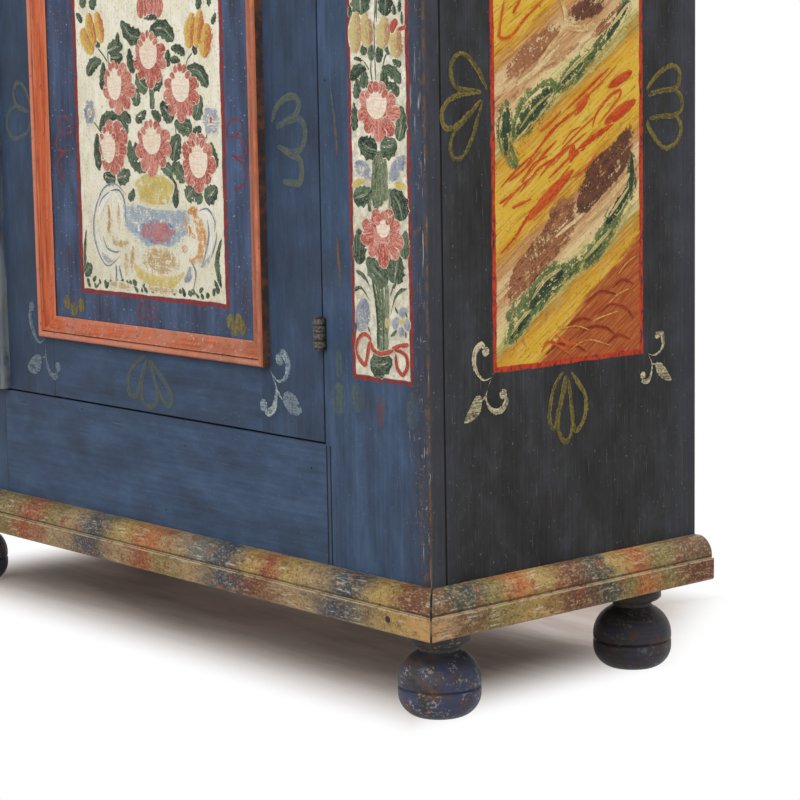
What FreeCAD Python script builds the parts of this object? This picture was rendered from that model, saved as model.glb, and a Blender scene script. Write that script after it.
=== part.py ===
import FreeCAD, Part
import math
import os

# Painted cupboard with one panelled door, standing on four turned bun feet.
# Millimetres. X runs to the right, Y to the back and Z up; the origin is on the floor,
# in the middle of the cupboard's outline.

# Case
CASE_WIDTH = 1144.0
CASE_DEPTH = 440.0
CASE_HEIGHT = 1787.0
BOARD = 22.0
RIGHT_STILE_WIDTH = 185.5
LEFT_STILE_WIDTH = 250.5
BOTTOM_RAIL_HEIGHT = 197.5
TOP_RAIL_HEIGHT = 166.5
RAIL_TENON_LENGTH = 55.0
RAIL_TENON_THICKNESS = 8.0
RAIL_TENON_SHOULDER = 24.0
DADO_DEPTH = 8.0
FLOOR_DROP = 10.5
TOP_BOARD_DROP = 8.0

# Back boards, tongued and grooved
BACK_BOARD_COUNT = 5
TONGUE_THICKNESS = 8.0
TONGUE_LENGTH = 8.0
TONGUE_CLEARANCE = 0.3

# Shelves
SHELF_COUNT = 3
SHELF_THICKNESS = 20.0
SHELF_FRONT_SETBACK = 55.0
SHELF_CLEARANCE = 0.5
CLEAT_SIZE = 22.0
CLEAT_END_GAP = 14.0

# Base moulding, nailed round the foot of the case
BASE_OUT = 32.0
BASE_FASCIA_HEIGHT = 27.0
BASE_CHAMFER = 2.0
BASE_LEDGE = 3.5
BASE_OVOLO_OUT = 18.5
BASE_OVOLO_HEIGHT = 26.0

# Bun feet
FOOT_HEIGHT = 113.0
FOOT_RADIUS = 49.0
FOOT_SOLE_RADIUS = 32.0
FOOT_BELLY_LOW = 26.0
FOOT_GROOVE_Z = 34.0
FOOT_GROOVE_HALF = 2.2
FOOT_GROOVE_DEPTH = 2.6
FOOT_BELLY_HIGH = 40.0
FOOT_SHOULDER_RADIUS = 28.0
FOOT_SHOULDER_Z = 74.0
FOOT_NECK_RADIUS = 24.5
FOOT_NECK_LOW = 77.0
FOOT_NECK_HIGH = 81.0
FOOT_COLLAR_RADIUS = 36.5
FOOT_COLLAR_Z = 85.0
FOOT_COLLAR_EDGE = 3.0
FOOT_SPIGOT_RADIUS = 15.0
FOOT_SPIGOT_LENGTH = 44.0
SPIGOT_CLEARANCE = 0.1
FOOT_INSET_SIDE = 54.0
FOOT_INSET_FRONT = 57.0
FOOT_BLOCK_SIZE = 72.0
FOOT_BLOCK_HEIGHT = 52.0

# Cornice
CORNICE_RISE = 30.0
CORNICE_FILLET_OUT = 8.0
CORNICE_FILLET_HEIGHT = 9.0
CORNICE_COVE = 34.0
CORNICE_STEP_OUT = 5.0
CORNICE_STEP_HEIGHT = 5.0
CORNICE_OVOLO = 11.0
CORNICE_FASCIA = 29.0
CORNICE_CHAMFER = 3.0

# Door frame and panels
DOOR_GAP = 2.5
DOOR_LOCK_MARGIN = 109.0
DOOR_HINGE_MARGIN = 100.5
DOOR_RAIL_MARGIN = 81.5
DOOR_MIDDLE_MARGIN = 80.0
DOOR_TENON_LENGTH = 60.0
DOOR_TENON_SHOULDER = 14.0
DOOR_TENON_SETBACK = 6.0
DOOR_TENON_THICKNESS = 10.0
PANEL_THICKNESS = 10.0
PANEL_ENGAGEMENT = 8.0
RABBET_WIDTH = 9.0

# Raised moulding round each door panel
MOULDING_WIDTH = 29.0
MOULDING_LAP = 17.0
MOULDING_SIDE = 11.0
MOULDING_BEAD_WIDTH = 8.0
MOULDING_BEAD_RISE = 3.0
MOULDING_QUIRK = 1.6
MOULDING_INNER_LIP = 2.0
MOULDING_COVE_SAG = 2.5

# Cover strip on the closing edge of the door
STRIP_WIDTH = 56.0
STRIP_DOOR_LAP = 13.0
STRIP_THICKNESS = 14.0
STRIP_EDGE = 6.0
STRIP_OVOLO = 8.0
STRIP_RELIEF = 0.6

# Butt hinges with a barrel that stands proud of the front
HINGE_HEIGHT = 37.0
HINGE_END_DISTANCE = 110.5
BARREL_RADIUS = 7.5
BARREL_AXIS_OUT = 5.0
BARREL_CLEARANCE = 0.6
KNUCKLE_GAP = 0.5
LEAF_THICKNESS = 1.8
LEAF_DEPTH = 19.0
PIN_RADIUS = 2.5
PIN_CLEARANCE = 0.05
PIN_END = 1.2

# Lock, key and plates
LOCK_WIDTH = 80.0
LOCK_HEIGHT = 74.0
LOCK_DEPTH = 22.0
LOCK_WALL = 2.0
LOCK_EDGE_INSET = 3.0
BOLT_HEIGHT = 22.0
BOLT_THICKNESS = 6.0
BOLT_LENGTH = 62.0
BOLT_THROW = 14.0
BOLT_CLEARANCE = 0.3
BOLT_STRIKE_GAP = 0.6
BOLT_RISE = 26.0
STRIKE_WIDTH = 30.0
STRIKE_HEIGHT = 60.0
STRIKE_THICKNESS = 2.0
STRIKE_INSET = 2.0
KEY_BACKSET = 55.0
KEY_RADIUS = 3.5
KEY_HOLE_CLEARANCE = 0.5
KEY_OUTSIDE = 26.0
KEY_INSIDE = 15.0
KEY_BIT_REACH = 12.0
KEY_BIT_WIDTH = 8.0
KEY_BIT_THICKNESS = 3.0
KEY_BOW_RADIUS = 13.0
KEY_BOW_WIRE = 3.0
PLATE_WIDTH = 30.0
PLATE_HEIGHT = 56.0
PLATE_THICKNESS = 1.5

# Levels and places that follow from the sizes above
BASE_HEIGHT = BASE_FASCIA_HEIGHT + BASE_OVOLO_HEIGHT
CORNICE_OUT = CORNICE_FILLET_OUT + CORNICE_COVE + CORNICE_STEP_OUT + CORNICE_OVOLO
CORNICE_HEIGHT = (CORNICE_FILLET_HEIGHT + CORNICE_COVE + CORNICE_STEP_HEIGHT
                  + CORNICE_OVOLO + CORNICE_FASCIA)
CASE_BOTTOM = FOOT_HEIGHT
CASE_TOP = CASE_BOTTOM + CASE_HEIGHT
TOTAL_HEIGHT = CASE_TOP + CORNICE_RISE
RIGHT = CASE_WIDTH / 2
LEFT = -RIGHT
FRONT_OUT = max(CORNICE_OUT, BASE_OUT)
FRONT = (FRONT_OUT - CASE_DEPTH) / 2
BACK = FRONT + CASE_DEPTH
FRAME_BACK = FRONT + BOARD
BACK_BOARD_FRONT = BACK - BOARD
INNER_RIGHT = RIGHT - BOARD
INNER_LEFT = LEFT + BOARD
OPENING_RIGHT = RIGHT - RIGHT_STILE_WIDTH
OPENING_LEFT = LEFT + LEFT_STILE_WIDTH
OPENING_BOTTOM = CASE_BOTTOM + BOTTOM_RAIL_HEIGHT
OPENING_TOP = CASE_TOP - TOP_RAIL_HEIGHT
FLOOR_TOP = OPENING_BOTTOM - FLOOR_DROP
FLOOR_BOTTOM = FLOOR_TOP - BOARD
TOP_BOARD_TOP = CASE_TOP - TOP_BOARD_DROP
TOP_BOARD_BOTTOM = TOP_BOARD_TOP - BOARD

DOOR_RIGHT = OPENING_RIGHT - DOOR_GAP
DOOR_LEFT = OPENING_LEFT + DOOR_GAP
DOOR_BOTTOM = OPENING_BOTTOM + DOOR_GAP
DOOR_TOP = OPENING_TOP - DOOR_GAP
DOOR_HEIGHT = DOOR_TOP - DOOR_BOTTOM
DOOR_RAIL_HEIGHT = DOOR_RAIL_MARGIN + MOULDING_LAP
DOOR_MIDDLE_HEIGHT = DOOR_MIDDLE_MARGIN + 2 * MOULDING_LAP
PANEL_BACK = FRONT + PANEL_THICKNESS
DAYLIGHT_RIGHT = DOOR_RIGHT - DOOR_HINGE_MARGIN - MOULDING_LAP
DAYLIGHT_LEFT = DOOR_LEFT + DOOR_LOCK_MARGIN + MOULDING_LAP
DAYLIGHT_HEIGHT = (DOOR_HEIGHT - 2 * DOOR_RAIL_HEIGHT - DOOR_MIDDLE_HEIGHT) / 2
LOWER_DAYLIGHT = DOOR_BOTTOM + DOOR_RAIL_HEIGHT
MIDDLE_RAIL_BOTTOM = LOWER_DAYLIGHT + DAYLIGHT_HEIGHT
MIDDLE_RAIL_TOP = MIDDLE_RAIL_BOTTOM + DOOR_MIDDLE_HEIGHT
UPPER_DAYLIGHT = MIDDLE_RAIL_TOP
TOP_RAIL_BOTTOM = UPPER_DAYLIGHT + DAYLIGHT_HEIGHT

HINGE_X = (OPENING_RIGHT + DOOR_RIGHT) / 2
HINGE_Y = FRONT - BARREL_AXIS_OUT
LOWER_HINGE_Z = DOOR_BOTTOM + HINGE_END_DISTANCE
UPPER_HINGE_Z = DOOR_TOP - HINGE_END_DISTANCE - HINGE_HEIGHT

LOCK_MIDDLE = (MIDDLE_RAIL_BOTTOM + MIDDLE_RAIL_TOP) / 2
LOCK_LEFT = DOOR_LEFT + LOCK_EDGE_INSET
KEY_X = DOOR_LEFT + KEY_BACKSET
KEY_Z = LOCK_MIDDLE - LOCK_WALL - KEY_BIT_REACH
BOLT_FRONT = FRAME_BACK + STRIKE_THICKNESS + BOLT_STRIKE_GAP
BOLT_BOTTOM = KEY_Z + BOLT_RISE - BOLT_HEIGHT / 2


def save(name, *solids):
    """Write the solids of one node to its STEP file."""
    shape = solids[0] if len(solids) == 1 else Part.makeCompound(list(solids))
    shape.exportStep("parts/" + name + ".step")


def vec(x, y, z):
    return FreeCAD.Vector(x, y, z)


def box(x0, x1, y0, y1, z0, z1):
    return Part.makeBox(x1 - x0, y1 - y0, z1 - z0, vec(x0, y0, z0))


def rod(x, y, z, radius, length, direction):
    return Part.makeCylinder(radius, length, vec(x, y, z), direction)


def prism(points, direction):
    """Straight body over a closed outline of points."""
    wire = Part.makePolygon(points + [points[0]])
    return Part.Face(wire).extrude(direction)


def profile_body(edges, direction):
    """Straight body over a closed outline of lines and arcs."""
    return Part.Face(Part.Wire(edges)).extrude(direction)


def arc(a, b, c):
    return Part.Arc(a, b, c).toShape()


def line(a, b):
    return Part.LineSegment(a, b).toShape()


def outline(steps, place):
    """Edges through steps: each is a point, or a pair of points for an arc to the second."""
    edges = []
    here = place(*steps[0])
    for step in steps[1:] + [steps[0]]:
        if isinstance(step[0], tuple):
            there = place(*step[1])
            edges.append(arc(here, place(*step[0]), there))
        else:
            there = place(*step)
            edges.append(line(here, there))
        here = there
    return edges


def rail_with_tenons(left, right, bottom, top):
    """Front rail with a tenon at each end."""
    tenon_front = FRONT + (BOARD - RAIL_TENON_THICKNESS) / 2
    tenon = box(left - RAIL_TENON_LENGTH, right + RAIL_TENON_LENGTH,
                tenon_front, tenon_front + RAIL_TENON_THICKNESS,
                bottom + RAIL_TENON_SHOULDER, top - RAIL_TENON_SHOULDER)
    return box(left, right, FRONT, FRAME_BACK, bottom, top).fuse(tenon)


def make_front_frame():
    """Two full-height stiles with the bottom and top rails tenoned between them."""
    bottom_rail = rail_with_tenons(OPENING_LEFT, OPENING_RIGHT, CASE_BOTTOM, OPENING_BOTTOM)
    top_rail = rail_with_tenons(OPENING_LEFT, OPENING_RIGHT, OPENING_TOP, CASE_TOP)
    right_stile = box(OPENING_RIGHT, RIGHT, FRONT, FRAME_BACK, CASE_BOTTOM, CASE_TOP)
    left_stile = box(LEFT, OPENING_LEFT, FRONT, FRAME_BACK, CASE_BOTTOM, CASE_TOP)
    for z in (LOWER_HINGE_Z, UPPER_HINGE_Z):
        right_stile = right_stile.cut(barrel_space(z))
        right_stile = right_stile.cut(leaf_plate(z, OPENING_RIGHT))
    save("front_stile_right", right_stile.cut(bottom_rail).cut(top_rail))
    save("front_stile_left", left_stile.cut(bottom_rail).cut(top_rail))
    save("front_rail_bottom", bottom_rail)
    save("front_rail_top", top_rail)


def make_carcase():
    """Side boards, with the floor and top boards housed in them."""
    floor = box(INNER_LEFT - DADO_DEPTH, INNER_RIGHT + DADO_DEPTH,
                FRAME_BACK, BACK_BOARD_FRONT, FLOOR_BOTTOM, FLOOR_TOP)
    top = box(INNER_LEFT - DADO_DEPTH, INNER_RIGHT + DADO_DEPTH,
              FRAME_BACK, BACK_BOARD_FRONT, TOP_BOARD_BOTTOM, TOP_BOARD_TOP)
    right = box(INNER_RIGHT, RIGHT, FRAME_BACK, BACK_BOARD_FRONT, CASE_BOTTOM, CASE_TOP)
    left = box(LEFT, INNER_LEFT, FRAME_BACK, BACK_BOARD_FRONT, CASE_BOTTOM, CASE_TOP)
    save("side_board_right", right.cut(floor).cut(top))
    save("side_board_left", left.cut(floor).cut(top))
    save("floor_board", floor)
    save("top_board", top)


def make_back():
    """Upright back boards; each tongue sits in the groove of the next board."""
    width = CASE_WIDTH / BACK_BOARD_COUNT
    tongue_front = BACK_BOARD_FRONT + (BOARD - TONGUE_THICKNESS) / 2
    tongue_back = tongue_front + TONGUE_THICKNESS
    for i in range(BACK_BOARD_COUNT):
        x0 = LEFT + i * width
        x1 = x0 + width
        board = box(x0, x1, BACK_BOARD_FRONT, BACK, CASE_BOTTOM, CASE_TOP)
        if i < BACK_BOARD_COUNT - 1:
            board = board.fuse(box(x1, x1 + TONGUE_LENGTH, tongue_front, tongue_back,
                                   CASE_BOTTOM, CASE_TOP))
        if i > 0:
            board = board.cut(box(x0, x0 + TONGUE_LENGTH + TONGUE_CLEARANCE,
                                  tongue_front - TONGUE_CLEARANCE, tongue_back + TONGUE_CLEARANCE,
                                  CASE_BOTTOM, CASE_TOP))
        save("back_board_%d" % (i + 1), board)


def make_shelves():
    """Loose shelves on cleats along the side boards."""
    step = (TOP_BOARD_BOTTOM - FLOOR_TOP) / (SHELF_COUNT + 1)
    y0 = FRONT + SHELF_FRONT_SETBACK
    y1 = BACK_BOARD_FRONT
    cleats = []
    for i in range(SHELF_COUNT):
        top = FLOOR_TOP + (i + 1) * step
        bottom = top - SHELF_THICKNESS
        save("shelf_%d" % (i + 1),
             box(INNER_LEFT + SHELF_CLEARANCE, INNER_RIGHT - SHELF_CLEARANCE,
                 y0, y1 - SHELF_CLEARANCE, bottom, top))
        for x in (INNER_LEFT, INNER_RIGHT - CLEAT_SIZE):
            cleats.append(box(x, x + CLEAT_SIZE, y0 + CLEAT_END_GAP, y1 - CLEAT_END_GAP,
                              bottom - CLEAT_SIZE, bottom))
    save("shelf_cleats", *cleats)


def run_outline(side, out):
    """Plan of one moulding run on the case, mitred at the front corners."""
    reach = out + 1
    if side == "front":
        plan = [(LEFT, FRONT), (RIGHT, FRONT), (RIGHT + reach, FRONT - reach),
                (LEFT - reach, FRONT - reach)]
    elif side == "right":
        plan = [(RIGHT, FRONT), (RIGHT, BACK), (RIGHT + reach, BACK),
                (RIGHT + reach, FRONT - reach)]
    else:
        plan = [(LEFT, FRONT), (LEFT - reach, FRONT - reach), (LEFT - reach, BACK),
                (LEFT, BACK)]
    return plan


def moulding_run(side, steps, out):
    """Moulding with the given profile along one face of the case, cut to its mitres."""
    reach = out + 1
    if side == "front":
        edges = outline(steps, lambda o, z: vec(LEFT - reach, FRONT - o, z))
        body = profile_body(edges, vec(CASE_WIDTH + 2 * reach, 0, 0))
    elif side == "right":
        edges = outline(steps, lambda o, z: vec(RIGHT + o, FRONT - reach, z))
        body = profile_body(edges, vec(0, CASE_DEPTH + 2 * reach, 0))
    else:
        edges = outline(steps, lambda o, z: vec(LEFT - o, FRONT - reach, z))
        body = profile_body(edges, vec(0, CASE_DEPTH + 2 * reach, 0))
    plan = [vec(x, y, 0) for x, y in run_outline(side, out)]
    return body.common(prism(plan, vec(0, 0, TOTAL_HEIGHT + 1)))


def base_profile():
    """Fascia with a ledge, and an ovolo above it."""
    z0 = CASE_BOTTOM
    z1 = z0 + BASE_FASCIA_HEIGHT
    z2 = z1 + BASE_OVOLO_HEIGHT
    ovolo = BASE_OUT - BASE_LEDGE
    top = ovolo - BASE_OVOLO_OUT
    middle = (top + BASE_OVOLO_OUT * math.cos(math.pi / 4),
              z1 + BASE_OVOLO_HEIGHT * math.sin(math.pi / 4))
    return [(0, z0), (BASE_OUT - BASE_CHAMFER, z0), (BASE_OUT, z0 + BASE_CHAMFER),
            (BASE_OUT, z1), (ovolo, z1), (middle, (top, z2)), (0, z2)]


def cornice_profile():
    """Fillet, cove, step, ovolo and fascia, from the bottom up."""
    z0 = TOTAL_HEIGHT - CORNICE_HEIGHT
    z1 = z0 + CORNICE_FILLET_HEIGHT
    z2 = z1 + CORNICE_COVE
    z3 = z2 + CORNICE_STEP_HEIGHT
    z4 = z3 + CORNICE_OVOLO
    cove_end = CORNICE_FILLET_OUT + CORNICE_COVE
    step = cove_end + CORNICE_STEP_OUT
    part = math.cos(math.pi / 4)
    cove_middle = (cove_end - CORNICE_COVE * part, z1 + CORNICE_COVE * part)
    ovolo_middle = (step + CORNICE_OVOLO * part, z4 - CORNICE_OVOLO * part)
    return [(0, z0), (CORNICE_FILLET_OUT, z0), (CORNICE_FILLET_OUT, z1),
            (cove_middle, (cove_end, z2)), (step, z2), (step, z3),
            (ovolo_middle, (CORNICE_OUT, z4)), (CORNICE_OUT, TOTAL_HEIGHT - CORNICE_CHAMFER),
            (CORNICE_OUT - CORNICE_CHAMFER, TOTAL_HEIGHT), (0, TOTAL_HEIGHT)]


def make_case_mouldings():
    """Base moulding and cornice on the front and both sides."""
    for side in ("front", "right", "left"):
        save("base_moulding_" + side, moulding_run(side, base_profile(), BASE_OUT))
        save("cornice_" + side, moulding_run(side, cornice_profile(), CORNICE_OUT))


def tangent_middle(start, end):
    """Middle point of the arc that leaves start upright and reaches end."""
    rise = end[1] - start[1]
    run = start[0] - end[0]
    radius = (run * run + rise * rise) / (2 * run)
    half = math.asin(abs(rise) / radius) / 2
    side = 1 if rise > 0 else -1
    return (start[0] - radius + radius * math.cos(half), start[1] + side * radius * math.sin(half))


def foot_profile():
    """Turned bun with a groove round its belly, a neck and a collar, and a spigot on top."""
    low = (FOOT_RADIUS, FOOT_BELLY_LOW)
    high = (FOOT_RADIUS, FOOT_BELLY_HIGH)
    sole = (FOOT_SOLE_RADIUS, 0)
    shoulder = (FOOT_SHOULDER_RADIUS, FOOT_SHOULDER_Z)
    spigot_top = FOOT_HEIGHT + FOOT_SPIGOT_LENGTH
    return [(0, 0), sole, (tangent_middle(low, sole), low),
            (FOOT_RADIUS, FOOT_GROOVE_Z - FOOT_GROOVE_HALF),
            (FOOT_RADIUS - FOOT_GROOVE_DEPTH, FOOT_GROOVE_Z),
            (FOOT_RADIUS, FOOT_GROOVE_Z + FOOT_GROOVE_HALF), high,
            (tangent_middle(high, shoulder), shoulder),
            (FOOT_NECK_RADIUS, FOOT_NECK_LOW), (FOOT_NECK_RADIUS, FOOT_NECK_HIGH),
            (FOOT_COLLAR_RADIUS - FOOT_COLLAR_EDGE, FOOT_COLLAR_Z),
            (FOOT_COLLAR_RADIUS, FOOT_COLLAR_Z + FOOT_COLLAR_EDGE),
            (FOOT_COLLAR_RADIUS, FOOT_HEIGHT), (FOOT_SPIGOT_RADIUS, FOOT_HEIGHT),
            (FOOT_SPIGOT_RADIUS, spigot_top), (0, spigot_top)]


def make_feet():
    """Four turned feet, each held by its spigot in a block in the corner of the case."""
    up = vec(0, 0, 1)
    blocks = []
    for row, y, block_y in (("front", FRONT + FOOT_INSET_FRONT, FRAME_BACK),
                            ("rear", BACK - FOOT_INSET_FRONT, BACK_BOARD_FRONT - FOOT_BLOCK_SIZE)):
        for hand, x, block_x in (("left", LEFT + FOOT_INSET_SIDE, INNER_LEFT),
                                 ("right", RIGHT - FOOT_INSET_SIDE, INNER_RIGHT - FOOT_BLOCK_SIZE)):
            edges = outline(foot_profile(), lambda r, z: vec(x + r, y, z))
            foot = Part.Face(Part.Wire(edges)).revolve(vec(x, y, 0), up, 360)
            save("foot_%s_%s" % (row, hand), foot)
            block = box(block_x, block_x + FOOT_BLOCK_SIZE, block_y, block_y + FOOT_BLOCK_SIZE,
                        CASE_BOTTOM, CASE_BOTTOM + FOOT_BLOCK_HEIGHT)
            hole = rod(x, y, CASE_BOTTOM, FOOT_SPIGOT_RADIUS + SPIGOT_CLEARANCE,
                       FOOT_BLOCK_HEIGHT, up)
            blocks.append(block.cut(hole))
    save("foot_blocks", *blocks)


def panel_rabbet(bottom, top):
    """Space of the rabbet that a door panel lies in, flush with the front of the frame."""
    return box(DAYLIGHT_LEFT - RABBET_WIDTH, DAYLIGHT_RIGHT + RABBET_WIDTH,
               FRONT, PANEL_BACK, bottom - RABBET_WIDTH, top + RABBET_WIDTH)


def door_rail(bottom, top):
    """Door rail with a tenon at each end, hidden inside the stile."""
    front = FRONT + DOOR_TENON_SETBACK
    tenon = box(DAYLIGHT_LEFT - DOOR_TENON_LENGTH, DAYLIGHT_RIGHT + DOOR_TENON_LENGTH,
                front, front + DOOR_TENON_THICKNESS,
                bottom + DOOR_TENON_SHOULDER, top - DOOR_TENON_SHOULDER)
    return box(DAYLIGHT_LEFT, DAYLIGHT_RIGHT, FRONT, FRAME_BACK, bottom, top).fuse(tenon)


def make_door_frame():
    """Door stiles and rails with rabbets for the two panels."""
    rabbets = [panel_rabbet(LOWER_DAYLIGHT, MIDDLE_RAIL_BOTTOM),
               panel_rabbet(UPPER_DAYLIGHT, TOP_RAIL_BOTTOM)]
    rails = {"door_rail_bottom": door_rail(DOOR_BOTTOM, LOWER_DAYLIGHT),
             "door_rail_middle": door_rail(MIDDLE_RAIL_BOTTOM, MIDDLE_RAIL_TOP),
             "door_rail_top": door_rail(TOP_RAIL_BOTTOM, DOOR_TOP)}
    hinge_stile = box(DAYLIGHT_RIGHT, DOOR_RIGHT, FRONT, FRAME_BACK, DOOR_BOTTOM, DOOR_TOP)
    lock_stile = box(DOOR_LEFT, DAYLIGHT_LEFT, FRONT, FRAME_BACK, DOOR_BOTTOM, DOOR_TOP)
    for name, rail in rails.items():
        for rabbet in rabbets:
            rail = rail.cut(rabbet)
        save(name, rail)
        hinge_stile = hinge_stile.cut(rail)
        lock_stile = lock_stile.cut(rail)
    for rabbet in rabbets:
        hinge_stile = hinge_stile.cut(rabbet)
        lock_stile = lock_stile.cut(rabbet)
    for z in (LOWER_HINGE_Z, UPPER_HINGE_Z):
        hinge_stile = hinge_stile.cut(barrel_space(z))
        hinge_stile = hinge_stile.cut(leaf_plate(z, DOOR_RIGHT - LEAF_THICKNESS))
    save("door_stile_hinge", hinge_stile)
    save("door_stile_lock", lock_stile.cut(keyhole(FRONT, BOARD)))


def make_door_panels():
    """Flat panels, loose in their rabbets and held by the mouldings."""
    for name, bottom, top in (("door_panel_lower", LOWER_DAYLIGHT, MIDDLE_RAIL_BOTTOM),
                              ("door_panel_upper", UPPER_DAYLIGHT, TOP_RAIL_BOTTOM)):
        reach = PANEL_ENGAGEMENT
        save(name, box(DAYLIGHT_LEFT - reach, DAYLIGHT_RIGHT + reach, FRONT, PANEL_BACK,
                       bottom - reach, top + reach))


def moulding_profile():
    """Raised moulding that laps the frame: upright side, bead, quirk and a sloping hollow."""
    bead_top = MOULDING_SIDE + MOULDING_BEAD_RISE
    slope_start = (MOULDING_BEAD_WIDTH + MOULDING_QUIRK, MOULDING_SIDE + MOULDING_QUIRK / 2)
    slope_end = (MOULDING_WIDTH, MOULDING_INNER_LIP)
    middle = ((slope_start[0] + slope_end[0]) / 2,
              (slope_start[1] + slope_end[1]) / 2 - MOULDING_COVE_SAG)
    return [(0, 0), (0, MOULDING_SIDE),
            ((MOULDING_BEAD_WIDTH / 2, bead_top), (MOULDING_BEAD_WIDTH, MOULDING_SIDE)),
            (MOULDING_BEAD_WIDTH, MOULDING_SIDE - MOULDING_QUIRK),
            slope_start, (middle, slope_end),
            (MOULDING_WIDTH, 0)]


def make_panel_mouldings():
    """Four mitred lengths round each panel."""
    x0 = DAYLIGHT_LEFT - MOULDING_LAP
    x1 = DAYLIGHT_RIGHT + MOULDING_LAP
    half = (x1 - x0) / 2
    deep = STRIP_THICKNESS + BOARD
    for name, bottom, top in (("lower", LOWER_DAYLIGHT, MIDDLE_RAIL_BOTTOM),
                              ("upper", UPPER_DAYLIGHT, TOP_RAIL_BOTTOM)):
        z0 = bottom - MOULDING_LAP
        z1 = top + MOULDING_LAP
        steps = moulding_profile()
        across = vec(x1 - x0, 0, 0)
        along = vec(0, 0, z1 - z0)
        bodies = {
            "bottom": profile_body(outline(steps, lambda w, h: vec(x0, FRONT - h, z0 + w)), across),
            "top": profile_body(outline(steps, lambda w, h: vec(x0, FRONT - h, z1 - w)), across),
            "left": profile_body(outline(steps, lambda w, h: vec(x0 + w, FRONT - h, z0)), along),
            "right": profile_body(outline(steps, lambda w, h: vec(x1 - w, FRONT - h, z0)), along)}
        plans = {
            "bottom": [(x0, z0), (x1, z0), (x1 - half, z0 + half)],
            "top": [(x0, z1), (x0 + half, z1 - half), (x1, z1)],
            "left": [(x0, z0), (x0 + half, z0 + half), (x0 + half, z1 - half), (x0, z1)],
            "right": [(x1, z0), (x1, z1), (x1 - half, z1 - half), (x1 - half, z0 + half)]}
        for part, body in bodies.items():
            plan = [vec(x, FRONT - deep, z) for x, z in plans[part]]
            save("panel_moulding_%s_%s" % (name, part), body.common(prism(plan, vec(0, 2 * deep, 0))))


def make_cover_strip():
    """Moulded strip on the door's closing edge that laps over the left front stile."""
    x1 = DOOR_LEFT + STRIP_DOOR_LAP
    x0 = x1 - STRIP_WIDTH
    part = STRIP_OVOLO * math.cos(math.pi / 4)
    right_middle = (x1 - STRIP_OVOLO + part, STRIP_EDGE + part)
    left_middle = (x0 + STRIP_OVOLO - part, STRIP_EDGE + part)
    steps = [(x1, 0), (x1, STRIP_EDGE), (right_middle, (x1 - STRIP_OVOLO, STRIP_THICKNESS)),
             (x0 + STRIP_OVOLO, STRIP_THICKNESS), (left_middle, (x0, STRIP_EDGE)),
             (x0, STRIP_RELIEF), (DOOR_LEFT, STRIP_RELIEF), (DOOR_LEFT, 0)]
    edges = outline(steps, lambda x, h: vec(x, FRONT - h, DOOR_BOTTOM))
    save("cover_strip", profile_body(edges, vec(0, 0, DOOR_HEIGHT)))


def barrel_space(z):
    """Room for a hinge barrel."""
    radius = BARREL_RADIUS + BARREL_CLEARANCE
    return rod(HINGE_X, HINGE_Y, z - BARREL_CLEARANCE, radius,
               HINGE_HEIGHT + 2 * BARREL_CLEARANCE, vec(0, 0, 1))


def leaf_plate(z, x):
    """Plate of a hinge leaf whose left face is at x."""
    return box(x, x + LEAF_THICKNESS, HINGE_Y, FRONT + LEAF_DEPTH, z, z + HINGE_HEIGHT)


def knuckle(z, index):
    """One of the three knuckles, counted from the bottom."""
    length = (HINGE_HEIGHT - 2 * KNUCKLE_GAP) / 3
    return rod(HINGE_X, HINGE_Y, z + index * (length + KNUCKLE_GAP), BARREL_RADIUS, length, vec(0, 0, 1))


def knuckle_space(z, index):
    """Room that one leaf leaves for a knuckle of the other."""
    length = (HINGE_HEIGHT - 2 * KNUCKLE_GAP) / 3
    return rod(HINGE_X, HINGE_Y, z + index * (length + KNUCKLE_GAP) - KNUCKLE_GAP,
               BARREL_RADIUS + BARREL_CLEARANCE, length + 2 * KNUCKLE_GAP, vec(0, 0, 1))


def make_hinges():
    """Two hinges: the case leaf has the outer knuckles, the door leaf the middle one."""
    up = vec(0, 0, 1)
    for name, z in (("lower", LOWER_HINGE_Z), ("upper", UPPER_HINGE_Z)):
        bore = rod(HINGE_X, HINGE_Y, z, PIN_RADIUS + PIN_CLEARANCE, HINGE_HEIGHT, up)
        case_leaf = leaf_plate(z, OPENING_RIGHT).cut(knuckle_space(z, 1))
        case_leaf = case_leaf.fuse(knuckle(z, 0)).fuse(knuckle(z, 2)).cut(bore)
        door_leaf = leaf_plate(z, DOOR_RIGHT - LEAF_THICKNESS)
        door_leaf = door_leaf.cut(knuckle_space(z, 0)).cut(knuckle_space(z, 2))
        door_leaf = door_leaf.fuse(knuckle(z, 1)).cut(bore)
        pin = rod(HINGE_X, HINGE_Y, z - PIN_END, PIN_RADIUS, HINGE_HEIGHT + 2 * PIN_END, up)
        save("hinge_case_leaf_" + name, case_leaf)
        save("hinge_door_leaf_" + name, door_leaf)
        save("hinge_pin_" + name, pin)


def keyhole(y, depth):
    """Keyhole: a round hole with a slot below it for the bit of the key."""
    radius = KEY_RADIUS + KEY_HOLE_CLEARANCE
    half = KEY_BIT_THICKNESS / 2 + KEY_HOLE_CLEARANCE
    hole = rod(KEY_X, y, KEY_Z, radius, depth, vec(0, 1, 0))
    slot = box(KEY_X - half, KEY_X + half, y, y + depth,
               KEY_Z - KEY_BIT_REACH - KEY_HOLE_CLEARANCE, KEY_Z)
    return hole.fuse(slot)


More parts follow.
